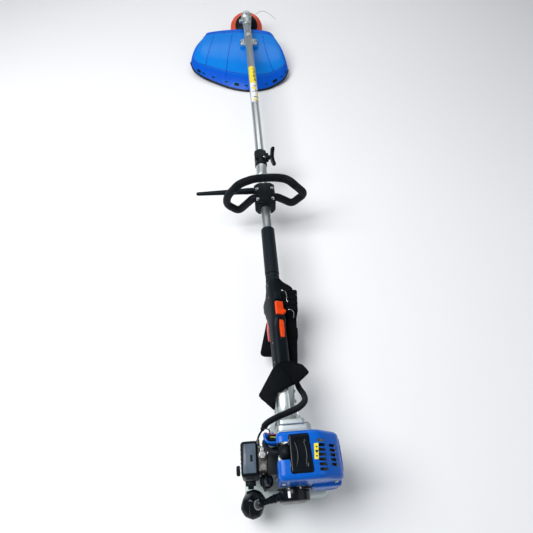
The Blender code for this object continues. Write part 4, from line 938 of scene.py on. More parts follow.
def make_engine_core():
    """Crankcase, cylinder, fan and clutch housings, silencer and the parts inside them."""
    for name in ("crankcase", "cylinder", "piston", "flywheel"):
        keep_node(name, CAST, 0.4)
    for name in ("crankshaft", "connecting_rod", "clutch_drum", "clutch_shoes", "spark_plug",
            "lower_drive_shaft", "upper_drive_shaft", "drive_pinion", "output_gear"):
        keep_node(name, STEEL, 0.3)
    keep_node("muffler", DARK_STEEL, 1)
    fan = shaft_ring("fan_case", [(42, 105), (42.6, 104), (42.6, 85), (42, 84.5), (39.5, 84.5),
        (39.5, 102.5), (6.8, 102.5), (6.8, 105)], 72)
    flange = facing("flange", rounded([(-26, 0), (43, 0), (43, 47), (36, 52.5), (-19, 52.5), (-26, 47)],
        5), 100.1, 9.8, bevel=1.2)
    carve(fan, [flange], "UNION")
    carve(fan, [
        shaft_rod("fan_room", 80, 102, 38.8, sides=72),
        shaft_rod("shaft_room", 80, 120, 6.8, sides=32)])
    finish(fan, CAST, "root", "fan_housing")
    bell = shaft_ring("clutch_bell", [(20.5, 205), (21, 203.5), (21, 198.5), (20.5, 197), (20.5, 154),
        (21.4, 149), (24, 141), (27.5, 134), (31.5, 127.5), (35.2, 120), (37.2, 112.5), (38, 111),
        (38, 105.3), (28, 105.3), (28, 126), (13.4, 138), (13.4, 205)], 72)
    top = facing("bell_flange", rounded([(-24, 0), (41, 0), (41, 43), (34, 49.5), (-17, 49.5), (-24, 43)],
        5), 111, 11.4, bevel=1.6)
    ribs = []
    for angle in (20, 58, 96, 134, 172, 210, 250, 290, 330):
        ribs.append(plate("bell_rib", [(116, 30), (116, 37.2), (124, 35.8), (136, 29), (150, 23.5),
            (158, 22.2), (158, 19), (140, 20)], ORIGIN, Y_AXIS, spoke(angle), 3, bevel=0.6))
    shoulder = facing("bell_shoulder", rounded([(-20, 30), (31, 30), (31, 47), (26, 54.5), (-15, 54.5),
        (-20, 48)], 4, 5), 120, 10, bevel=2, segments=3)
    ridge = block("neck_ridge", (6, 126, 18), (8.5, 202, 22.8), 0.8)
    carve(bell, [top, shoulder, ridge] + ribs, "UNION")
    carve(bell, [
        shaft_rod("clutch_room", 100, 125.5, 27.6, sides=72),
        lathe("tube_room", [(0, 0), (13.4, 0), (13.4, 120), (0, 120)], (0, 120, 0), Y_AXIS, 48)])
    finish(bell, CAST, "root", "clutch_housing")
    bolts = [hex_bolt("flange_bolt", (x, 116.8, 40), Y_AXIS, 3.6, 3.4) for x in (-16.5, 33.5)]
    bolts.append(screw("clamp_a", (19.5, 190, 4), X_AXIS, 3.4, 3))
    bolts.append(screw("clamp_b", (19.5, 170, 4), X_AXIS, 3.4, 3))
    finish(merge("housing_bolts", bolts), STEEL, "root")


make_engine_cover()
make_plug_saddle()
make_plug_lead()
make_heat_deflector()
make_air_filter()
make_carburettor()
make_wires()
make_tank()
make_starter()
make_engine_core()


# --------------------------------------------------------------------------------- shaft


def sticker_patch(name, start, end, from_deg, to_deg, radius):
    """A thin label bent round the tube, between two stations and two angles from +Z to +X."""
    steps = 10
    low, high = radius + 0.04, radius + 0.16
    loops = []
    for i in range(steps + 1):
        turn = math.radians(from_deg + (to_deg - from_deg) * i / steps)
        loops.append([(r * math.sin(turn), station, r * math.cos(turn))
            for r, station in ((low, start), (low, end), (high, end), (high, start))])
    return skin(name, loops)


def make_tubes():
    """Both aluminium tubes, with the plain warning-yellow stickers on the attachment's tube."""
    lower = shaft_ring("shaft_lower", [(TUBE_R, 146), (TUBE_R, 797), (15, 798.2), (15.6, 799.4),
        (15.6, 836.6), (15, 837.4), (TUBE_R, 837.4), (TUBE_R, 840), (TUBE_BORE, 840), (TUBE_BORE, 146)],
        72)
    finish(lower, TUBE_METAL, "root", "lower_tube")
    upper = shaft_ring("shaft_upper", [(TUBE_R, 840.5), (TUBE_R, 1639.5), (12.7, 1640), (TUBE_BORE, 1640),
        (TUBE_BORE, 840.5)], 72)
    finish(upper, TUBE_METAL, "attachment", "upper_tube")
    ground = [sticker_patch("label_long", 1231, 1327, -55, 85, TUBE_R)]
    for start, end, a, b in ((1216, 1229, 30, 80), (1193, 1206, -20, 30), (1160, 1178, 40, 80),
            (1136, 1144, -20, 60)):
        ground.append(sticker_patch("yellow", start, end, a, b, TUBE_R + 0.14))
    finish(merge("tube_sticker", ground), YELLOW, "attachment")
    marks = []
    for start, end, a, b in ((1309, 1312.5, 10, 62), (1294, 1301, 24, 56), (1286, 1289, 8, 56),
            (1270, 1277, 12, 44), (1262, 1265, 4, 60), (1244, 1252, 20, 58), (1210, 1213.5, 0, 44),
            (1186, 1192, 20, 70), (1180, 1182.5, -20, 30), (1150, 1154, -10, 60), (1132, 1134.5, 0, 70)):
        marks.append(sticker_patch("mark", start, end, a, b, TUBE_R + 0.3))
    finish(merge("tube_sticker_marks", marks), INK, "attachment")
    finish(sticker_patch("tube_sticker_panel", 1128.5, 1231, -55, 85, TUBE_R), WHITE, "attachment")


def make_coupler():
    """Split-shaft coupler: ribbed clamp, pinch lugs, T-knob and locking button."""
    low, high = 837.8, 897
    body = shaft_ring("coupler_body", [(TUBE_HOLE, low), (15.8, low), (16.6, low + 1), (17.4, low + 4),
        (17.4, low + 12), (16.8, low + 13), (16.8, high - 8), (17.4, high - 7), (17.4, high - 3),
        (15.8, high), (TUBE_HOLE, high)], 64)
    band = block("band", (-16.8, 858.5, -18.8), (16.8, 892.5, 18.8), 6, 5)
    carve(band, [shaft_rod("band_bore", 850, 900, 15, sides=48)])
    lug = block("lug", (14, 865.5, -8.8), (23.6, 888.5, 8.8), 2.6, 4)
    axis = Vector((0.48, 0, 0.877)).normalized()
    seat = Vector((6.4, 860, 11.8))
    boss = rod("button_boss", seat, seat + axis * 7.8, 6.6, 5.8, 0.6)
    carve(body, [band, lug, boss], "UNION")
    slit = block("slit", (10, 860, -0.9), (24, 899, 0.9))
    hole = rod("button_hole", seat, seat + axis * 20, 4.3, sides=32)
    bore = rod("stem_hole", (14, KNOB_Y, 0), (30, KNOB_Y, 0), 3.3, sides=24)
    core = shaft_rod("tube_core", 800, 920, TUBE_HOLE, sides=64)
    flats = [block("flat", (-12.5 + 6 * i, 862, 17.8), (-9.5 + 6 * i, 889, 20)) for i in range(3)]
    carve(body, [slit, hole, bore, core] + flats)
    finish(body, BLACK, "root", "coupler")
    button = lathe("release_button", [(0, 0), (4, 0), (4, 6.2), (3.2, 7.2), (0, 7.6)], seat + axis * 2.3,
        axis, 32)
    finish(button, STEEL, "button", "coupler_button")
    wing = rounded([(-25, 10), (-25.5, 1), (-12, -4.2), (0, -5), (12, -4.2), (26.5, -2), (32, 4),
        (30, 10.5), (22, 9.8), (11, 7.2), (0, 6.6), (-11, 7.8), (-19, 11.2)], 5, 5)
    bar = plate("wing", wing, (33, KNOB_Y, 0), Vector((0, 0.90, 0.436)), X_AXIS, 11.5, bevel=3.2,
        segments=4)
    hub = lathe("hub", [(0, 0), (6.6, 0), (7, 1), (6.4, 6), (5.8, 10), (5, 12.4), (0, 12.8)],
        (23.8, KNOB_Y, 0), X_AXIS, 40)
    stem = rod("stem", (15.2, KNOB_Y, 0), (26, KNOB_Y, 0), 3, sides=24)
    finish(carve(bar, [hub, stem], "UNION"), GLOSS_BLACK, "knob", "coupler_knob")


def make_foam_sleeve():
    """Foam sleeve with a stepped rubber neck behind it."""
    outer = [(16, 608), (16.8, 607)]
    for i in range(1, 27):
        outer.append((16.9 + 0.06 * math.sin(2.1 * i), 608 - 5 * i))
    outer += [(16.9, 472.5), (16.2, 471.8), (15, 471.5), (15, 468), (15.8, 467.8), (16.2, 467),
        (16.2, 462), (15.8, 461.2), (15, 461), (15, 457.5), (16, 457.2), (16.7, 456), (16.7, 451.5),
        (16, 450.6)]
    inner = [(TUBE_HOLE, 450.6), (TUBE_HOLE, 608)]
    finish(shaft_ring("foam_grip", outer + inner, 64), FOAM, "root", "foam_sleeve")


def handle_profile(station):
    """Half width, top and bottom of the control handle at a station."""
    keys = [(228, 15, 15, -15), (233, 16.6, 16.6, -16.4), (300, 16.8, 17.2, -17.2),
        (330, 16.8, 17.8, -19.5), (348, 16.8, 22.2, -22.2), (372, 16.8, 22.6, -33),
        (386, 17.2, 22.6, -40), (400, 17.2, 22.4, -40.5), (416, 16.7, 19, -23), (430, 16.6, 17.4, -17.2),
        (445, 16.4, 16.8, -16.4), (450, 15.2, 15.4, -15.2)]
    for before, after in zip(keys, keys[1:]):
        if before[0] <= station <= after[0]:
            t = (station - before[0]) / (after[0] - before[0])
            t = t * t * (3 - 2 * t)
            return [a + (b - a) * t for a, b in zip(before[1:], after[1:])]
    return keys[-1][1:]


GRIP_SCREWS = (252, 295, 406, 438)


def make_control_handle():
    """Control handle: a lofted grip split down its middle, with pockets for its controls."""
    sides = 48
    squareness = 0.72    # 1 would make its sections ovals
    stations = [228 + 222 * i / 74 for i in range(75)]
    for label, sign in (("right", 1.0), ("left", -1.0)):
        loops = []
        for station in stations:
            half, top, bottom = handle_profile(station)
            middle = (top + bottom) / 2
            reach = (top - bottom) / 2
            loop = []
            for i in range(sides):
                angle = 2 * math.pi * i / sides
                c, s = math.cos(angle), math.sin(angle)
                x = half * math.copysign(abs(c) ** squareness, c)
                z = middle + reach * math.copysign(abs(s) ** squareness, s)
                loop.append((x, station, z))
            loops.append(loop)
        shell = skin(f"grip_shell_{label}", loops, CONTROL)
        tools = [
            block("half", (min(-sign * 50, sign * 0.15), 200, -60),
            (max(-sign * 50, sign * 0.15), 500, 60), place=CONTROL),
            shaft_rod("grip_bore", 200, 470, TUBE_HOLE, sides=64, place=CONTROL),
            block("trigger_slot", (-5.2, 312, -60), (5.2, 402, -12), place=CONTROL),
            block("lock_slot", (-5, 300, 12), (5, 344.5, 60), place=CONTROL),
            block("switch_slot", (-12.2, 354, 18), (7, 393, 60), place=CONTROL),
            level("switch_rim", oblong(-14, 352, 8.8, 395.2, 2.5), 25, 6.4, place=CONTROL)]
        for station in GRIP_SCREWS:
            tools.append(rod("screw_well", (sign * 15, station, 0), (sign * 20, station, 0), 4.2,
                sides=28, place=CONTROL))
        carve(shell, tools)
        finish(shell, BLACK, "root", f"control_handle_{label}")
        screws = [screw("grip_screw", (sign * 15, station, 0), X_AXIS * sign, 3.1, 1.6, place=CONTROL)
            for station in GRIP_SCREWS]
        finish(merge(f"grip_screws_{label}", screws), DARK_STEEL, "root")
    plate_points = rounded([(398, -17.5), (398.5, -25), (382, -34), (350, -43), (320, -41.2),
        (316, -38.5), (345, -34.5), (372, -25.2), (386, -17.5)], 5, 6)
    trigger = upright("trigger_blade", plate_points, 0, 9.4, bevel=2.4, segments=4, place=CONTROL)
    finish(trigger, TRIGGER_RED, "trigger", "throttle_trigger")
    points = rounded([(343.5, 21.5), (343.5, 16.5), (335, 15), (303, 17.8), (302, 20.5), (316, 23.2),
        (335, 23.6)], 2.5, 5)
    lock = upright("lock_blade", points, 0, 9, bevel=1.4, segments=3, place=CONTROL)
    finish(lock, ORANGE, "lockout", "throttle_lockout")
    slider = block("stop_slider", (-11.6, 354.5, 18.4), (6.4, 386.5, 25.8), 1.6, 4, place=CONTROL)
    ridge = upright("ridge", rounded([(356, 25), (358.5, 30.4), (363, 30.4), (368, 25)], 1.2, 4), 5.6, 6,
        bevel=0.8, place=CONTROL)
    lines = [block("slider_line", (-10.4, 371.5 + 3 * i, 25.2), (5.2, 372.7 + 3 * i, 26.3), 0.4, 2,
        place=CONTROL) for i in range(4)]
    carve(slider, [ridge] + lines, "UNION")
    finish(slider, ORANGE, "switch", "stop_switch")


CONDUIT_ROUTE = [(24, 244, -6), (27, 220, -10), (32, 201, -10), (38.5, 182, 2), (37, 165, 18),
    (23, 149, 36), (0, 138, 45), (-20, 131, 47), (-38, 124, 42), (-50, 114, 33), (-54, 102, 30)]


def make_conduit():
    """Corrugated conduit, with the throttle cable and its adjuster coming out of its end."""
    # the sleeve ends before the route does, and the bare cable goes on to the carburettor
    route = resample(smooth_path(CONDUIT_ROUTE[:-2] + [(-45.5, 118, 37.2)], 12), 1.1)
    radii = [6 if i % 3 else 4.9 for i in range(len(route))]
    finish(tube("corrugated_conduit", route, radii, 24), RUBBER, "root", "cable_conduit")
    cable = smooth_path([(-44, 119, 38), (-50, 112, 35), (-56, 102, 40), (-58, 92, 50), (-56, 80, 54.5)],
        8)
    ferrule = rod("ferrule", (-45.5, 118, 37.2), (-50, 112.8, 35.2), 4.6, 3.6, 0.5)
    finish(merge("throttle_cable", [tube("cable", cable, 1.9, 14), ferrule]), GLOSS_BLACK, "root")
    finish(rod("cable_adjuster", (-58.4, 93.5, 48), (-57.5, 85, 53.5), 3, 2.6, 0.4, 12), DARK_STEEL,
        "root")


# --------------------------------------------------------------------------- loop handle


def round_each(corners):
    """A closed outline whose corners each state their own rounding."""
    outline = []
    count = len(corners)
    for i, (x, z, radius) in enumerate(corners):
        here = Vector((x, z))
        before = Vector(corners[i - 1][:2]) - here
        after = Vector(corners[(i + 1) % count][:2]) - here
        first = here + before.normalized() * min(radius, before.length / 2.2)
        last = here + after.normalized() * min(radius, after.length / 2.2)
        for k in range(9):
            t = k / 8
            point = first * (1 - t) ** 2 + here * 2 * t * (1 - t) + last * t ** 2
            outline.append((point.x, point.y))
    return outline


def make_loop_handle():
    """Rubber-covered loop with fine ribs on its top, its clamp with screws, and the bar."""
    corners = [(-31, LOOP_Z, 8), (31, LOOP_Z, 8), (72, -4, 12), (104.5, 31, 15), (56, 87, 18),
        (22, 94.5, 15), (-28, 93.5, 15), (-65, 78.5, 15), (-98, 37, 18), (-101.5, 6, 14),
        (-71, -21.5, 14)]
    ring = [(x, HANDLE_Y, z) for x, z in round_each(corners)]
    route = resample(ring, 1.2, True)
    radii = []
    for i, point in enumerate(route):
        on_top = point.z > 62
        ribbed = 1.4 if i % 3 == 0 else 0
        radii.append(LOOP_R - ribbed if on_top else LOOP_R - 0.3)
    finish(tube("loop_grip", route, radii, 28, True, up=Y_AXIS), RUBBER, "loop", "loop_handle")
    low, high = 678, 738
    width = 27
    cap_screws = [(x, station) for x in (-19.5, 19.5) for station in (683.5, 719)]
    middle = (low + high) / 2
    base_outline = rounded([(-width, -6), (-17.5, -19), (17.5, -19), (width, -6), (width, LOOP_Z - GAP),
        (-width, LOOP_Z - GAP)], 4.5, 6)
    cap_outline = rounded([(-width, LOOP_Z + GAP), (width, LOOP_Z + GAP), (width, 30), (16.5, 38.5),
        (-16.5, 38.5), (-width, 30)], 4, 6)
    for label, outline, node in (("base", base_outline, "handle_clamp_base"),
            ("cap", cap_outline, "handle_clamp_cap")):
        half = facing(f"clamp_{label}", outline, middle, high - low, bevel=2.2, segments=4)
        tools = [
            shaft_rod("tube_hole", low - 10, high + 10, TUBE_HOLE, sides=64),
            rod("loop_hole", (-40, HANDLE_Y, LOOP_Z), (40, HANDLE_Y, LOOP_Z), LOOP_R + 2 * GAP, sides=48)]
        if label == "cap":
            tools += [rod("well", (x, station, 32.5), (x, station, 42), 5.4, sides=32)
                for x, station in cap_screws]
        else:
            tools.append(rod("bar_hole", (-40, BAR_Y, 20), (-27.2, BAR_Y, 20), 9, sides=32))
        carve(half, tools)
        finish(half, BLACK, "handle", node)
    boss = block("cap_boss", (-11.8, low + 1.2, 36), (11.8, high - 1.2, 40.2), 2.6, 4)
    grooves = [boss] + [tube("cap_rib", [(x, low + 6, 40), (x, high - 6, 40)], 0.9, 10) for x in (-7, 7)]
    finish(merge("clamp_ribs", grooves), BLACK, "handle")
    screws = [lathe("clamp_screw", [(0, -4), (4.2, -4), (4.4, 2), (3.8, 3.4), (2.4, 3.8), (2.1, 3.8),
        (2.1, 1.4), (0, 1.4)], (x, station, 33.5), Z_AXIS, 24) for x, station in cap_screws]
    finish(merge("clamp_screws", screws), STEEL, "handle")
    count = 40
    route = [(-width - GAP - 152 * i / count, BAR_Y, 20) for i in range(count + 1)]
    radii = []
    for i in range(count + 1):
        t = i / count
        swell = 0.4 if i in (4, 5, 6) else 0
        radii.append(8.8 - 4 * t + swell)
    radii[-1] = 3.6
    finish(tube("bar", route, radii, 28), BLACK, "handle", "barrier_bar")


make_tubes()
make_coupler()
make_foam_sleeve()
make_control_handle()
make_conduit()
make_loop_handle()


# --------------------------------------------------------------------------- cutting head


def make_gear_case():
    """Cast gear case: collar, tower, domed cap, pinch ear with its bolt, and cap screws."""
    case = lathe("case", [(0, 1621.8), (15.2, 1621.8), (16, 1622.6), (16, 1627), (15.2, 1628),
        (15.4, 1640), (16, 1656), (17.6, 1670), (18.6, 1680), (0, 1683)], ORIGIN, Y_AXIS, 64)
    tower = lathe("tower", [(0, -27), (6, -26.8), (10.5, -25.8), (15, -23.2), (17.6, -20), (18.8, -16.5),
        (19, -13), (18.3, -11.8), (18.3, -10.4), (19.4, -9.2), (19.5, 15), (19, 16.5), (19, 23),
        (17.8, 30), (16, 35.6), (0, 36)], GEAR_POINT, SPOOL_AXIS, 64)
    ear = block("ear", (-29, 1656, -6), (-12, 1670, 6), 2.6, 4)
    lugs = []
    for angle in (35, 145, 215, 325):
        away = spoke(angle, SPOOL_AXIS) * 16.8
        lugs.append(rod("lug", on_spool_axis(-15) + away, on_spool_axis(6) + away, 3.6, 3.6, 0.8, 20))
    carve(case, [tower, ear] + lugs, "UNION")
    carve(case, [
        shaft_rod("tube_socket", 1600, 1640.3, TUBE_R + GAP, sides=64),
        shaft_rod("pinion_room", 1635, 1676, 10.5),
        rod("gear_room", on_spool_axis(-10), on_spool_axis(30), 15.5),
        rod("output_hole", on_spool_axis(28), on_spool_axis(50), 6.3),
        block("pinch_slit", (-30, 1640, -0.8), (-15, 1672, 0.8)),
        block("collar_slit", (-1, 1610, 10), (1, 1633, 20))])
    finish(case, CAST, "attachment", "gear_case")
    for name in ("drive_pinion", "output_gear"):
        keep_node(name, STEEL)    # eased a second time, wider
    screws = [
        hex_bolt("ear_bolt", (-22.5, 1663, 6), Z_AXIS, 3.6, 3),
        hex_bolt("collar_bolt", (12, 1650, 12.8), Vector((0.62, 0, 0.78)), 4, 3.2),
        screw("cap_screw", on_spool_axis(-26.8), -SPOOL_AXIS, 4.2, 2.2)]
    finish(merge("case_bolts", screws), STEEL, "attachment")


def make_spool():
    """Line head: ribbed housing, moulded base ring with eyelets, reel and bump knob."""
    housing = lathe("head_housing", [(6.3, 37), (19, 37), (20.4, 37.6), (30, 39.4), (39.5, 43.2),
        (41.5, 44.2), (43.6, 48), (44.2, 49.2), (44.6, 54.8), (42, 54.8), (38.5, 49), (18, 43),
        (6.3, 43)], GEAR_POINT, SPOOL_AXIS, 96, ring=True)
    cuts = []
    for i in range(12):
        angle = 30 * i + 8
        cuts.append(plate("vane", rounded([(23, -2.2), (40, -3.6), (40, 3.6), (23, 2.2)], 1.6, 4),
            on_spool_axis(38), spoke(angle, SPOOL_AXIS), spoke(angle + 90, SPOOL_AXIS), 5.2))
    carve(housing, cuts)
    finish(housing, BLACK, "spool", "spool_housing")
    base = lathe("head_base", [(43, 55.2), (47, 55.2), (48, 56.6), (51, 57), (60, 62), (61.6, 63.8),
        (62.2, 65.2), (62.2, 66.4), (64, 67.6), (64.5, 70), (63.8, 75), (60.8, 81.2), (59, 82.4),
        (27, 84), (27, 81), (56, 79), (60, 72), (59, 65), (43, 59.2)], GEAR_POINT, SPOOL_AXIS, 120,
        ring=True)
    tools = []
    for i in range(10):
        angle = 36 * i + 18
        tools.append(plate("notch", rounded([(52, -4.2), (57.2, -5), (57.2, 5), (52, 4.2)], 1.4, 4),
            on_spool_axis(58), spoke(angle, SPOOL_AXIS), spoke(angle + 90, SPOOL_AXIS), 3.6))
    out = LINE_SIDE.normalized()
    for sign in (1, -1):
        tools.append(rod("eyelet_hole", on_spool_axis(67) + out * sign * 56,
            on_spool_axis(67) + out * sign * 70, 2.2, sides=24))
    carve(base, tools)
    finish(base, RING_RED, "spool", "spool_base")
    eyelet = lathe("line_eyelet", [(1.6, -3), (2.1, -3), (2.1, 0), (3, 0.2), (3, 0.7), (1.9, 0.9),
        (1.6, 0.4)], on_spool_axis(68) - out * 64, -out, 28, ring=True)
    finish(eyelet, STEEL, "spool")
    reel = lathe("reel", [(0, 96), (15, 96), (18, 95.4), (21, 93.8), (22.6, 91), (23.4, 86), (24, 85),
        (24, 76.5), (50, 76.5), (50, 73.5), (28, 73), (28, 67), (48, 66.5), (48, 64.5), (6.8, 64.5),
        (6.8, 74.5), (0, 74.5)], GEAR_POINT, SPOOL_AXIS, 80)
    flutes = []
    for i in range(10):
        away = spoke(36 * i, SPOOL_AXIS)
        flutes.append(rod("flute", on_spool_axis(86.2) + away * 25, on_spool_axis(98) + away * 23.6, 3.2,
            sides=20))
    carve(reel, flutes)
    finish(reel, BLACK, "feed", "line_spool")
    coil = []
    for layer in range(3):
        for i in range(3):
            ring = [on_spool_axis(68.2 + 1.8 * i) + spoke(7.5 * k, SPOOL_AXIS) * (42.5 - 2.2 * layer)
                for k in range(48)]
            coil.append(tube("turn", ring, 1, 10, True, up=SPOOL_AXIS))
    finish(merge("wound_line", coil), NYLON, "feed")


SHIELD_FRONT = [(-172, 1628, -40), (-165, 1640, -36), (-152, 1648, -31), (-90, 1650, -26),
    (-20, 1648, -23.5), (40, 1643, -26), (80, 1638, -31), (96, 1628, -35), (104, 1612, -40)]
SHIELD_RIM = [(-225.5, 1520, -76), (-213, 1478, -82.5), (-183, 1443, -87), (-135, 1408, -91),
    (-72, 1371, -95), (-7, 1352, -96), (62, 1362, -95), (122, 1402, -88), (144, 1448, -80)]


def shield_grid(across, along):
    """Points of the guard's outer face, from its front edge back and down to its rear rim."""
    front = smooth_path(SHIELD_FRONT, across)
    rim = smooth_path(SHIELD_RIM, across)
    rows = []
    for k in range(along + 1):
        depth = k / along
        depth = 1 - (1 - depth) ** 1.5
        fall = 0.12 * depth + 0.88 * depth ** 3.5
        row = []
        for i, (near, far) in enumerate(zip(front, rim)):
            side = 2.0 * i / (len(front) - 1) - 1.0
            x = near.x + (far.x - near.x) * depth
            x += side ** 3 * 3 * math.sin(math.pi * depth)
            y = near.y + (far.y - near.y) * depth
            row.append(Vector((x, y, near.z + (far.z - near.z) * fall)))
        rows.append(row)
    return rows


def on_shield(rows, side, depth, lift=0):
    """A point over the guard's outer face: side and depth run from 0 to 1."""
    v = depth * (len(rows) - 1)
    u = side * (len(rows[0]) - 1)
    j, i = min(int(v), len(rows) - 2), min(int(u), len(rows[0]) - 2)
    fv, fu = v - j, u - i
    low = rows[j][i].lerp(rows[j][i + 1], fu)
    high = rows[j + 1][i].lerp(rows[j + 1][i + 1], fu)
    normal = (rows[j][i + 1] - rows[j][i]).cross(rows[j + 1][i] - rows[j][i]).normalized()
    if normal.z < 0:
        normal = -normal
    return low.lerp(high, fv) + normal * lift


def make_shield():
    """Blue guard, darker towards its rim as painted shade, with moulded ribs in a darker blue as painted
    shade, a row of slots with black painted shade under them and a black tube under the rear rim as
    painted shade.
    """
    along = 60
    rows = shield_grid(9, along)
    working = bmesh.new()
    rim_shade_layer = working.verts.layers.float.new("rim")
    lattice = []
    for k, row in enumerate(rows):
        line = []
        for i, point in enumerate(row):
            vert = working.verts.new(point)
            side = abs(2.0 * i / (len(row) - 1) - 1.0)
            # Painted shade: 1 on the front rows, the sides and the steep rear band, where the guard turns
            # away from the light.
            edge = max(1.0 - k / 5.0, (k / along - 0.67) / 0.06, (side - 0.86) / 0.06, 0)
            vert[rim_shade_layer] = min(1.0, edge)
            line.append(vert)
        lattice.append(line)
    for upper, lower in zip(lattice, lattice[1:]):
        for i in range(len(upper) - 1):
            working.faces.new((upper[i], lower[i], lower[i + 1], upper[i + 1]))
    shell = wrap("guard_shell", working, SHAFT, 50)
    wall = shell.modifiers.new("wall", "SOLIDIFY")
    wall.thickness = 2.6 * MM
    wall.offset = -1.0
    bake(shell, 50)
    slots, slot_shades = [], []
    for side, length, width in ((0.205, 20, 10), (0.268, 15, 5), (0.360, 12, 6), (0.455, 13, 5.2),
            (0.530, 19, 11), (0.600, 13, 5.2), (0.735, 11, 5.2), (0.800, 21, 11), (0.860, 13, 5.2),
            (0.925, 16, 7.5)):
        middle = on_shield(rows, side, 0.875)
        across = (on_shield(rows, side + 0.01, 0.86) - on_shield(rows, side - 0.01, 0.86)).normalized()
        down = (on_shield(rows, side, 0.90) - on_shield(rows, side, 0.82)).normalized()
        outline = oblong(-length / 2, -width / 2, length / 2, width / 2, 1.2, 4)
        slots.append(plate("slot", outline, middle, across, down, 16))
        # A black plate under each slot is painted shade that makes the slot read dark.
        under = on_shield(rows, side, 0.875, -4.2)
        grown = [(x * 1.25, y * 1.25) for x, y in outline]
        slot_shades.append(plate("slot_shade", grown, under, across, down, 1))
    carve(shell, slots)
    finish(shell, GUARD, "attachment", "shield")
    finish(merge("guard_slot_shades", slot_shades), BLACK, "attachment")
    mount = block("guard_mount", (-33, 1521, -36), (35, 1559, -24.3), 3, 4)
    finish(mount, GUARD, "attachment")
    ribs = []
    for side, end_side, end in ((0.310, 0.283, 0.70), (0.441, 0.452, 0.78), (0.6875, 0.803, 0.75)):
        path = [on_shield(rows, side + (end_side - side) * t / 24, 0.08 + (end - 0.08) * t / 24, 0.2)
            for t in range(25)]
        ribs.append(tube("rib", path, 1.1, 14, flat=0.7))
    band = [on_shield(rows, 0.03 + 0.94 * t / 80, 0.69, 0.1) for t in range(81)]
    ribs.append(tube("rib_band", band, 1.2, 14, flat=0.55))
    band = [on_shield(rows, 0.06 + 0.88 * t / 80, 0.045, 0.1) for t in range(81)]
    ribs.append(tube("rib_front", band, 1.2, 14, flat=0.6))
    # The ribs' darker blue is painted shade.
    finish(merge("guard_ribs", ribs), RIB_SHADE_BLUE, "attachment")
    # A gloss black tube just under and behind the rear rim is painted shade along the rim's underside.
    lip = [on_shield(rows, t / 80, 1.0) + Vector((0, -1.2, -1.8)) for t in range(81)]
    finish(tube("guard_rim_shade_line", lip, 3.4, 16), GLOSS_BLACK, "attachment")


def make_shield_bracket():
    """Clamp ring and base plate that hold the guard under the tube, with their bolts."""
    ring = shaft_ring("bracket_ring", [(14.8, 1547.5), (14.4, 1548), (TUBE_R + GAP, 1548),
        (TUBE_R + GAP, 1530), (14.4, 1530), (14.8, 1530.5)], 64)
    base = block("bracket_base", (-30, 1524, -24), (32, 1556, -15.5), 1.6, 3)
    feet = [block("foot", (x - 4.5, 1526, -18), (x + 4.5, 1554, -11), 1.8, 3) for x in (-18, 18)]
    carve(ring, [base] + feet, "UNION")
    carve(ring, [shaft_rod("bracket_bore", 1510, 1570, TUBE_R + GAP, sides=64)])
    finish(ring, CAST, "attachment", "shield_bracket")
    bolts = [hex_bolt("bracket_bolt", (x, 1537, -15.5), Z_AXIS, 5, 4.2) for x in (-23.5, 27)]
    finish(merge("bracket_bolts", bolts), STEEL, "attachment")


# -------------------------------------------------------------------------------- harness


MOST_PUFF = 3.5 * MM


def puff(piece, pressure):
    """Lets a closed shell of cloth puff out over its seams for twenty frames."""
    cloth = piece.modifiers.new("puff", "CLOTH")
    for setting, value in {"quality": 6, "mass": 0.3, "tension_stiffness": 20,
            "compression_stiffness": 20, "shear_stiffness": 8, "bending_stiffness": 0.6,
            "use_pressure": True, "uniform_pressure_force": pressure}.items():
        setattr(cloth.settings, setting, value)
    cloth.settings.effector_weights.gravity = 0
    cloth.collision_settings.use_collision = False
    scene = bpy.context.scene
    for frame_number in range(1, 21):
        scene.frame_set(frame_number)
    rest = [v.co.copy() for v in piece.data.vertices]
    shaped = piece.evaluated_get(bpy.context.evaluated_depsgraph_get())
    moved = [v.co.copy() for v in shaped.data.vertices]
    piece.modifiers.remove(cloth)
    for vert, old, new in zip(piece.data.vertices, rest, moved):
        step = new - old
        if step.length > MOST_PUFF:
            step *= MOST_PUFF / step.length
        vert.co = old + step
    scene.frame_set(1)


def pad_of(name, pieces, node, pressure, voxel=4.5):
    """A stitched pad: the raw form remeshed, puffed out, smoothed, and bound to the handle."""
    pad = merge(name, pieces) if len(pieces) > 1 else pieces[0]
    remesh = pad.modifiers.new("remesh", "REMESH")
    remesh.mode = "VOXEL"
    remesh.voxel_size = voxel * MM
    bake(pad, 80)
    relax = pad.modifiers.new("relax", "SMOOTH")
    relax.factor = 0.5
    relax.iterations = 4
    bake(pad, 80)
    puff(pad, pressure)
    finer = pad.modifiers.new("finer", "SUBSURF")
    finer.levels = finer.render_levels = 1
    bake(pad, 80)
    pad.name = name
    finish(pad, CLOTH, "root", node)
    return pad


def webbing_loop(name, corners, station, width, thickness=0.9):
    """A strap wound once round a pad, in the plane across the shaft at a station."""
    ring = [(x, station, z) for x, z in rounded(corners, 6, 6)]
    return tube(name, resample(ring, 2, True), thickness, 20, True, flat=width / 2 / thickness, up=Y_AXIS)


def lean(piece):
    """Leans a piece of the right pad in towards the handle and down at its rear end."""
    for vert in piece.data.vertices:
        share = max(0, (420 * MM - vert.co.y) / (170 * MM))
        vert.co.x -= 12.5 * MM * share
        vert.co.z -= 15 * MM * share


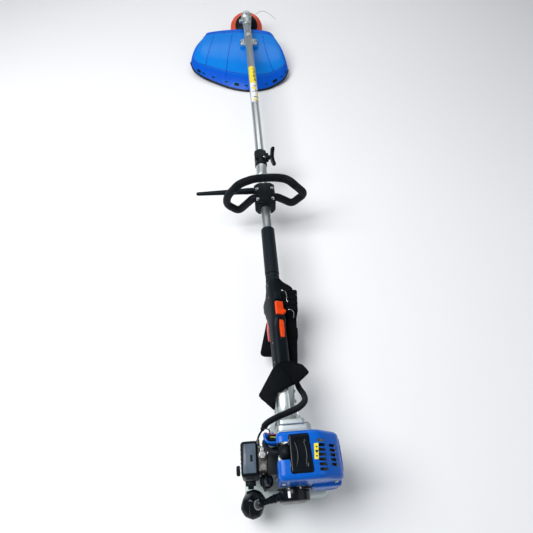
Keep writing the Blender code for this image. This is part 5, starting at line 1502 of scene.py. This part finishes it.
def make_harness():
    """Shoulder harness bundled round the control handle: pads, piping, straps and buckles."""
    side_outline = rounded([(249, -24), (249, -6), (300, -2), (362, 1), (367, 17), (422, 15), (424, -20),
        (360, -27)], 8, 6)
    raw = upright("right_raw", side_outline, 36.5, 33, bevel=4, segments=3)
    lean(raw)
    pad_of("pad_right", [raw], "harness_pad_right", 4.0)
    straps = [webbing_loop("loop", [(20, -23.5), (55, -23.5), (55, high), (20, high)], station, 11.5)
        for station, high in ((413, 17.8), (400, 18.4), (387, 18.8), (374, 18.2))]
    straps.append(webbing_loop("loop_low", [(19.2, -25.5), (54.5, -25.5), (54.5, 1.2), (19.2, -0.2)], 325,
        24))
    diagonal = smooth_path([(8, 448, 15), (19, 436, 13.5), (33, 425, 15), (38, 415, 19.5)], 8)
    straps.append(tube("strap_diagonal", resample(diagonal, 3), 8.5, 20, flat=0.14))
    straps = merge("harness_straps_right", straps)
    lean(straps)
    finish(straps, WEBBING, "root")
    piping = [tube("side_seam", resample([(x, y, z) for y, z in rounded([(252.5, -20.8), (252.5, -9.4),
        (360, -2.4), (364.5, 14.2), (419.5, 12.4), (421, -17.6), (360, -24)], 9, 6)], 3, True), 1.6, 10,
        True) for x in (22.6, 50.8)]
    piping = merge("harness_piping_right", piping)
    lean(piping)
    finish(piping, WEBBING, "root")
    hooks = [
        tube("hook_a", smooth_path([(23.5, 413, 20.5), (26.2, 402, 21.2), (25, 390, 20.5), (27, 385, 20)],
        6), 1, 12),
        tube("hook_b", smooth_path([(26, 366, 19), (33, 364.5, 19.6), (37.5, 360, 15), (36.8, 352, 6)],
        6), 1, 12)]
    finish(merge("harness_buckles", hooks), STEEL, "root")

    left = level("left_raw", rounded([(-20, 382.5), (19, 382.5), (20.5, 286), (-42.5, 293.5)], 10, 6),
        -58, 12.5, bevel=3, segments=3)
    pad_of("pad_left", [left], "harness_pad_left", 4.0)
    edge = [(x, y, -58) for x, y in rounded([(-18.6, 380.8), (17.6, 380.8), (19.2, 287.6), (-40.8, 295)],
        10, 6)]
    hem = smooth_path([(15, 302, -52.2), (-16, 304, -51.8), (-35, 307, -52.4)], 8)
    strap = [(-10, 377, -52.6), (-11, 370, -51.8), (-13, 340, -51.6), (-16, 312, -51.8)]
    links = [tube("link", resample(smooth_path([(-4, station, -50), (12, station, -49.2),
        (22.5, station, -42), (26.2, station, -30), (29, station, -24)], 6), 2), 1.2, 16, flat=6.5,
        up=Y_AXIS) for station in (312, 356)]
    finish(merge("harness_straps_left", links), WEBBING, "root")
    finish(merge("harness_piping_left", [
        tube("left_edge", resample(edge, 3, True), 1.4, 10, True),
        tube("left_hem", hem, 1.1, 10),
        tube("left_strap", resample(smooth_path(strap, 8), 4), 9.5, 16, flat=0.12)]), WEBBING, "root")

    inner_r, outer_r = 25, 29.6
    arch_end = math.radians(34)    # where the rear pad's arch runs out into its flat wings
    inner = [(60, -23.5)] + arc((0, 0), inner_r, 28, 152, 14) + [(-55, -22)]
    outer = [(-61, -18)] + arc((0, 0), outer_r, 146, 34, 14) + [(65, -19)]
    raw = facing("rear_raw", inner + outer, 200, 110)
    outline = rounded([(-19.5, 233), (-52, 190), (-23.5, 151), (-19, 180), (8, 192), (28.5, 203),
        (58.5, 234.5), (45, 247.5), (0, 245.5)], 3, 4)
    carve(raw, [level("rear_plan", outline, 0, 200)], "INTERSECT")
    pad_of("pad_rear", [raw], "harness_pad_rear", 3.0, 3.5)

    def on_arch(x, y, lift):
        """A point over the rear pad's upper face."""
        bend = outer_r * math.cos(arch_end)
        if abs(x) < bend:
            z = math.sqrt(max(0, outer_r ** 2 - x ** 2))
        else:
            slope = (outer_r * math.sin(arch_end) + 15.5) / (58.5 - bend)
            z = outer_r * math.sin(arch_end) - (abs(x) - bend) * slope
        return Vector((x, y, z + lift))

    edge = resample([(x, y, 0) for x, y in outline], 2.5, True)
    inset = 0.965
    middle = 200
    binding = tube("rear_edge", [on_arch(p.x * inset, (p.y - middle) * inset + middle, -1.4)
        for p in edge], 1.5, 10, True)
    crease = smooth_path([(-8, 242, 0), (4, 225, 0), (17, 206, 0), (21.5, 201, 0)], 8)
    fold = tube("rear_crease", [on_arch(p.x, p.y, 0.4) for p in crease], 1.2, 10)
    finish(merge("harness_piping_rear", [binding, fold]), WEBBING, "root")


make_gear_case()
make_spool()
make_shield()
make_shield_bracket()
make_harness()


# ------------------------------------------------------------------------ floor and light


def studio_floor():
    """Pale matt sheet under the trimmer."""
    paint = Painter("studio_paper")
    base = paint.mix(paint.span(paint.noise(1.3, 3.0), 0.0, 1.0), (0.86, 0.87, 0.89, 1.0),
        (0.90, 0.91, 0.92, 1.0))
    paint.dress(Base_Color=base, Roughness=paint.span(paint.noise(30.0, 4.0), 0.75, 0.9))
    paint.bump(paint.noise(800.0, 3.0), 0.06, 0.0004)
    working = bmesh.new()
    low, high = -9.0, 9.0
    working.faces.new([working.verts.new((x, y, 0.0)) for x, y in ((low, low), (high, low), (high, high),
        (low, high))])
    floor = wrap("studio_floor", working, Matrix.Identity(4))
    floor.data.materials.append(paint.made)


def softbox(name, place, aim, size, power, colour=(1.0, 1.0, 1.0)):
    """A square area light turned to its aim."""
    light = bpy.data.lights.new(name, "AREA")
    light.shape = "RECTANGLE"
    light.size, light.size_y = size
    light.energy = power
    light.color = colour
    lamp = bpy.data.objects.new(name, light)
    bpy.context.scene.collection.objects.link(lamp)
    lamp.location = place
    lamp.rotation_euler = (Vector(aim) - Vector(place)).to_track_quat("-Z", "Y").to_euler()


studio_floor()
softbox("key", (-1.1, 0.4, 1.9), (0.0, 0.5, 0.0), (1.1, 1.6), 50.0)
softbox("fill", (1.6, -0.4, 1.5), (0.0, 0.6, 0.0), (1.4, 1.8), 7.0, (0.92, 0.96, 1.0))
softbox("back", (0.0, 2.6, 1.4), (0.0, 1.0, 0.0), (1.8, 0.8), 9.0)
world = bpy.data.worlds.new("studio")
world.use_nodes = True
world.node_tree.nodes["Background"].inputs["Color"].default_value = (0.93, 0.96, 1.0, 1.0)
world.node_tree.nodes["Background"].inputs["Strength"].default_value = 0.26
bpy.context.scene.world = world
bpy.context.scene.view_settings.view_transform = "Standard"
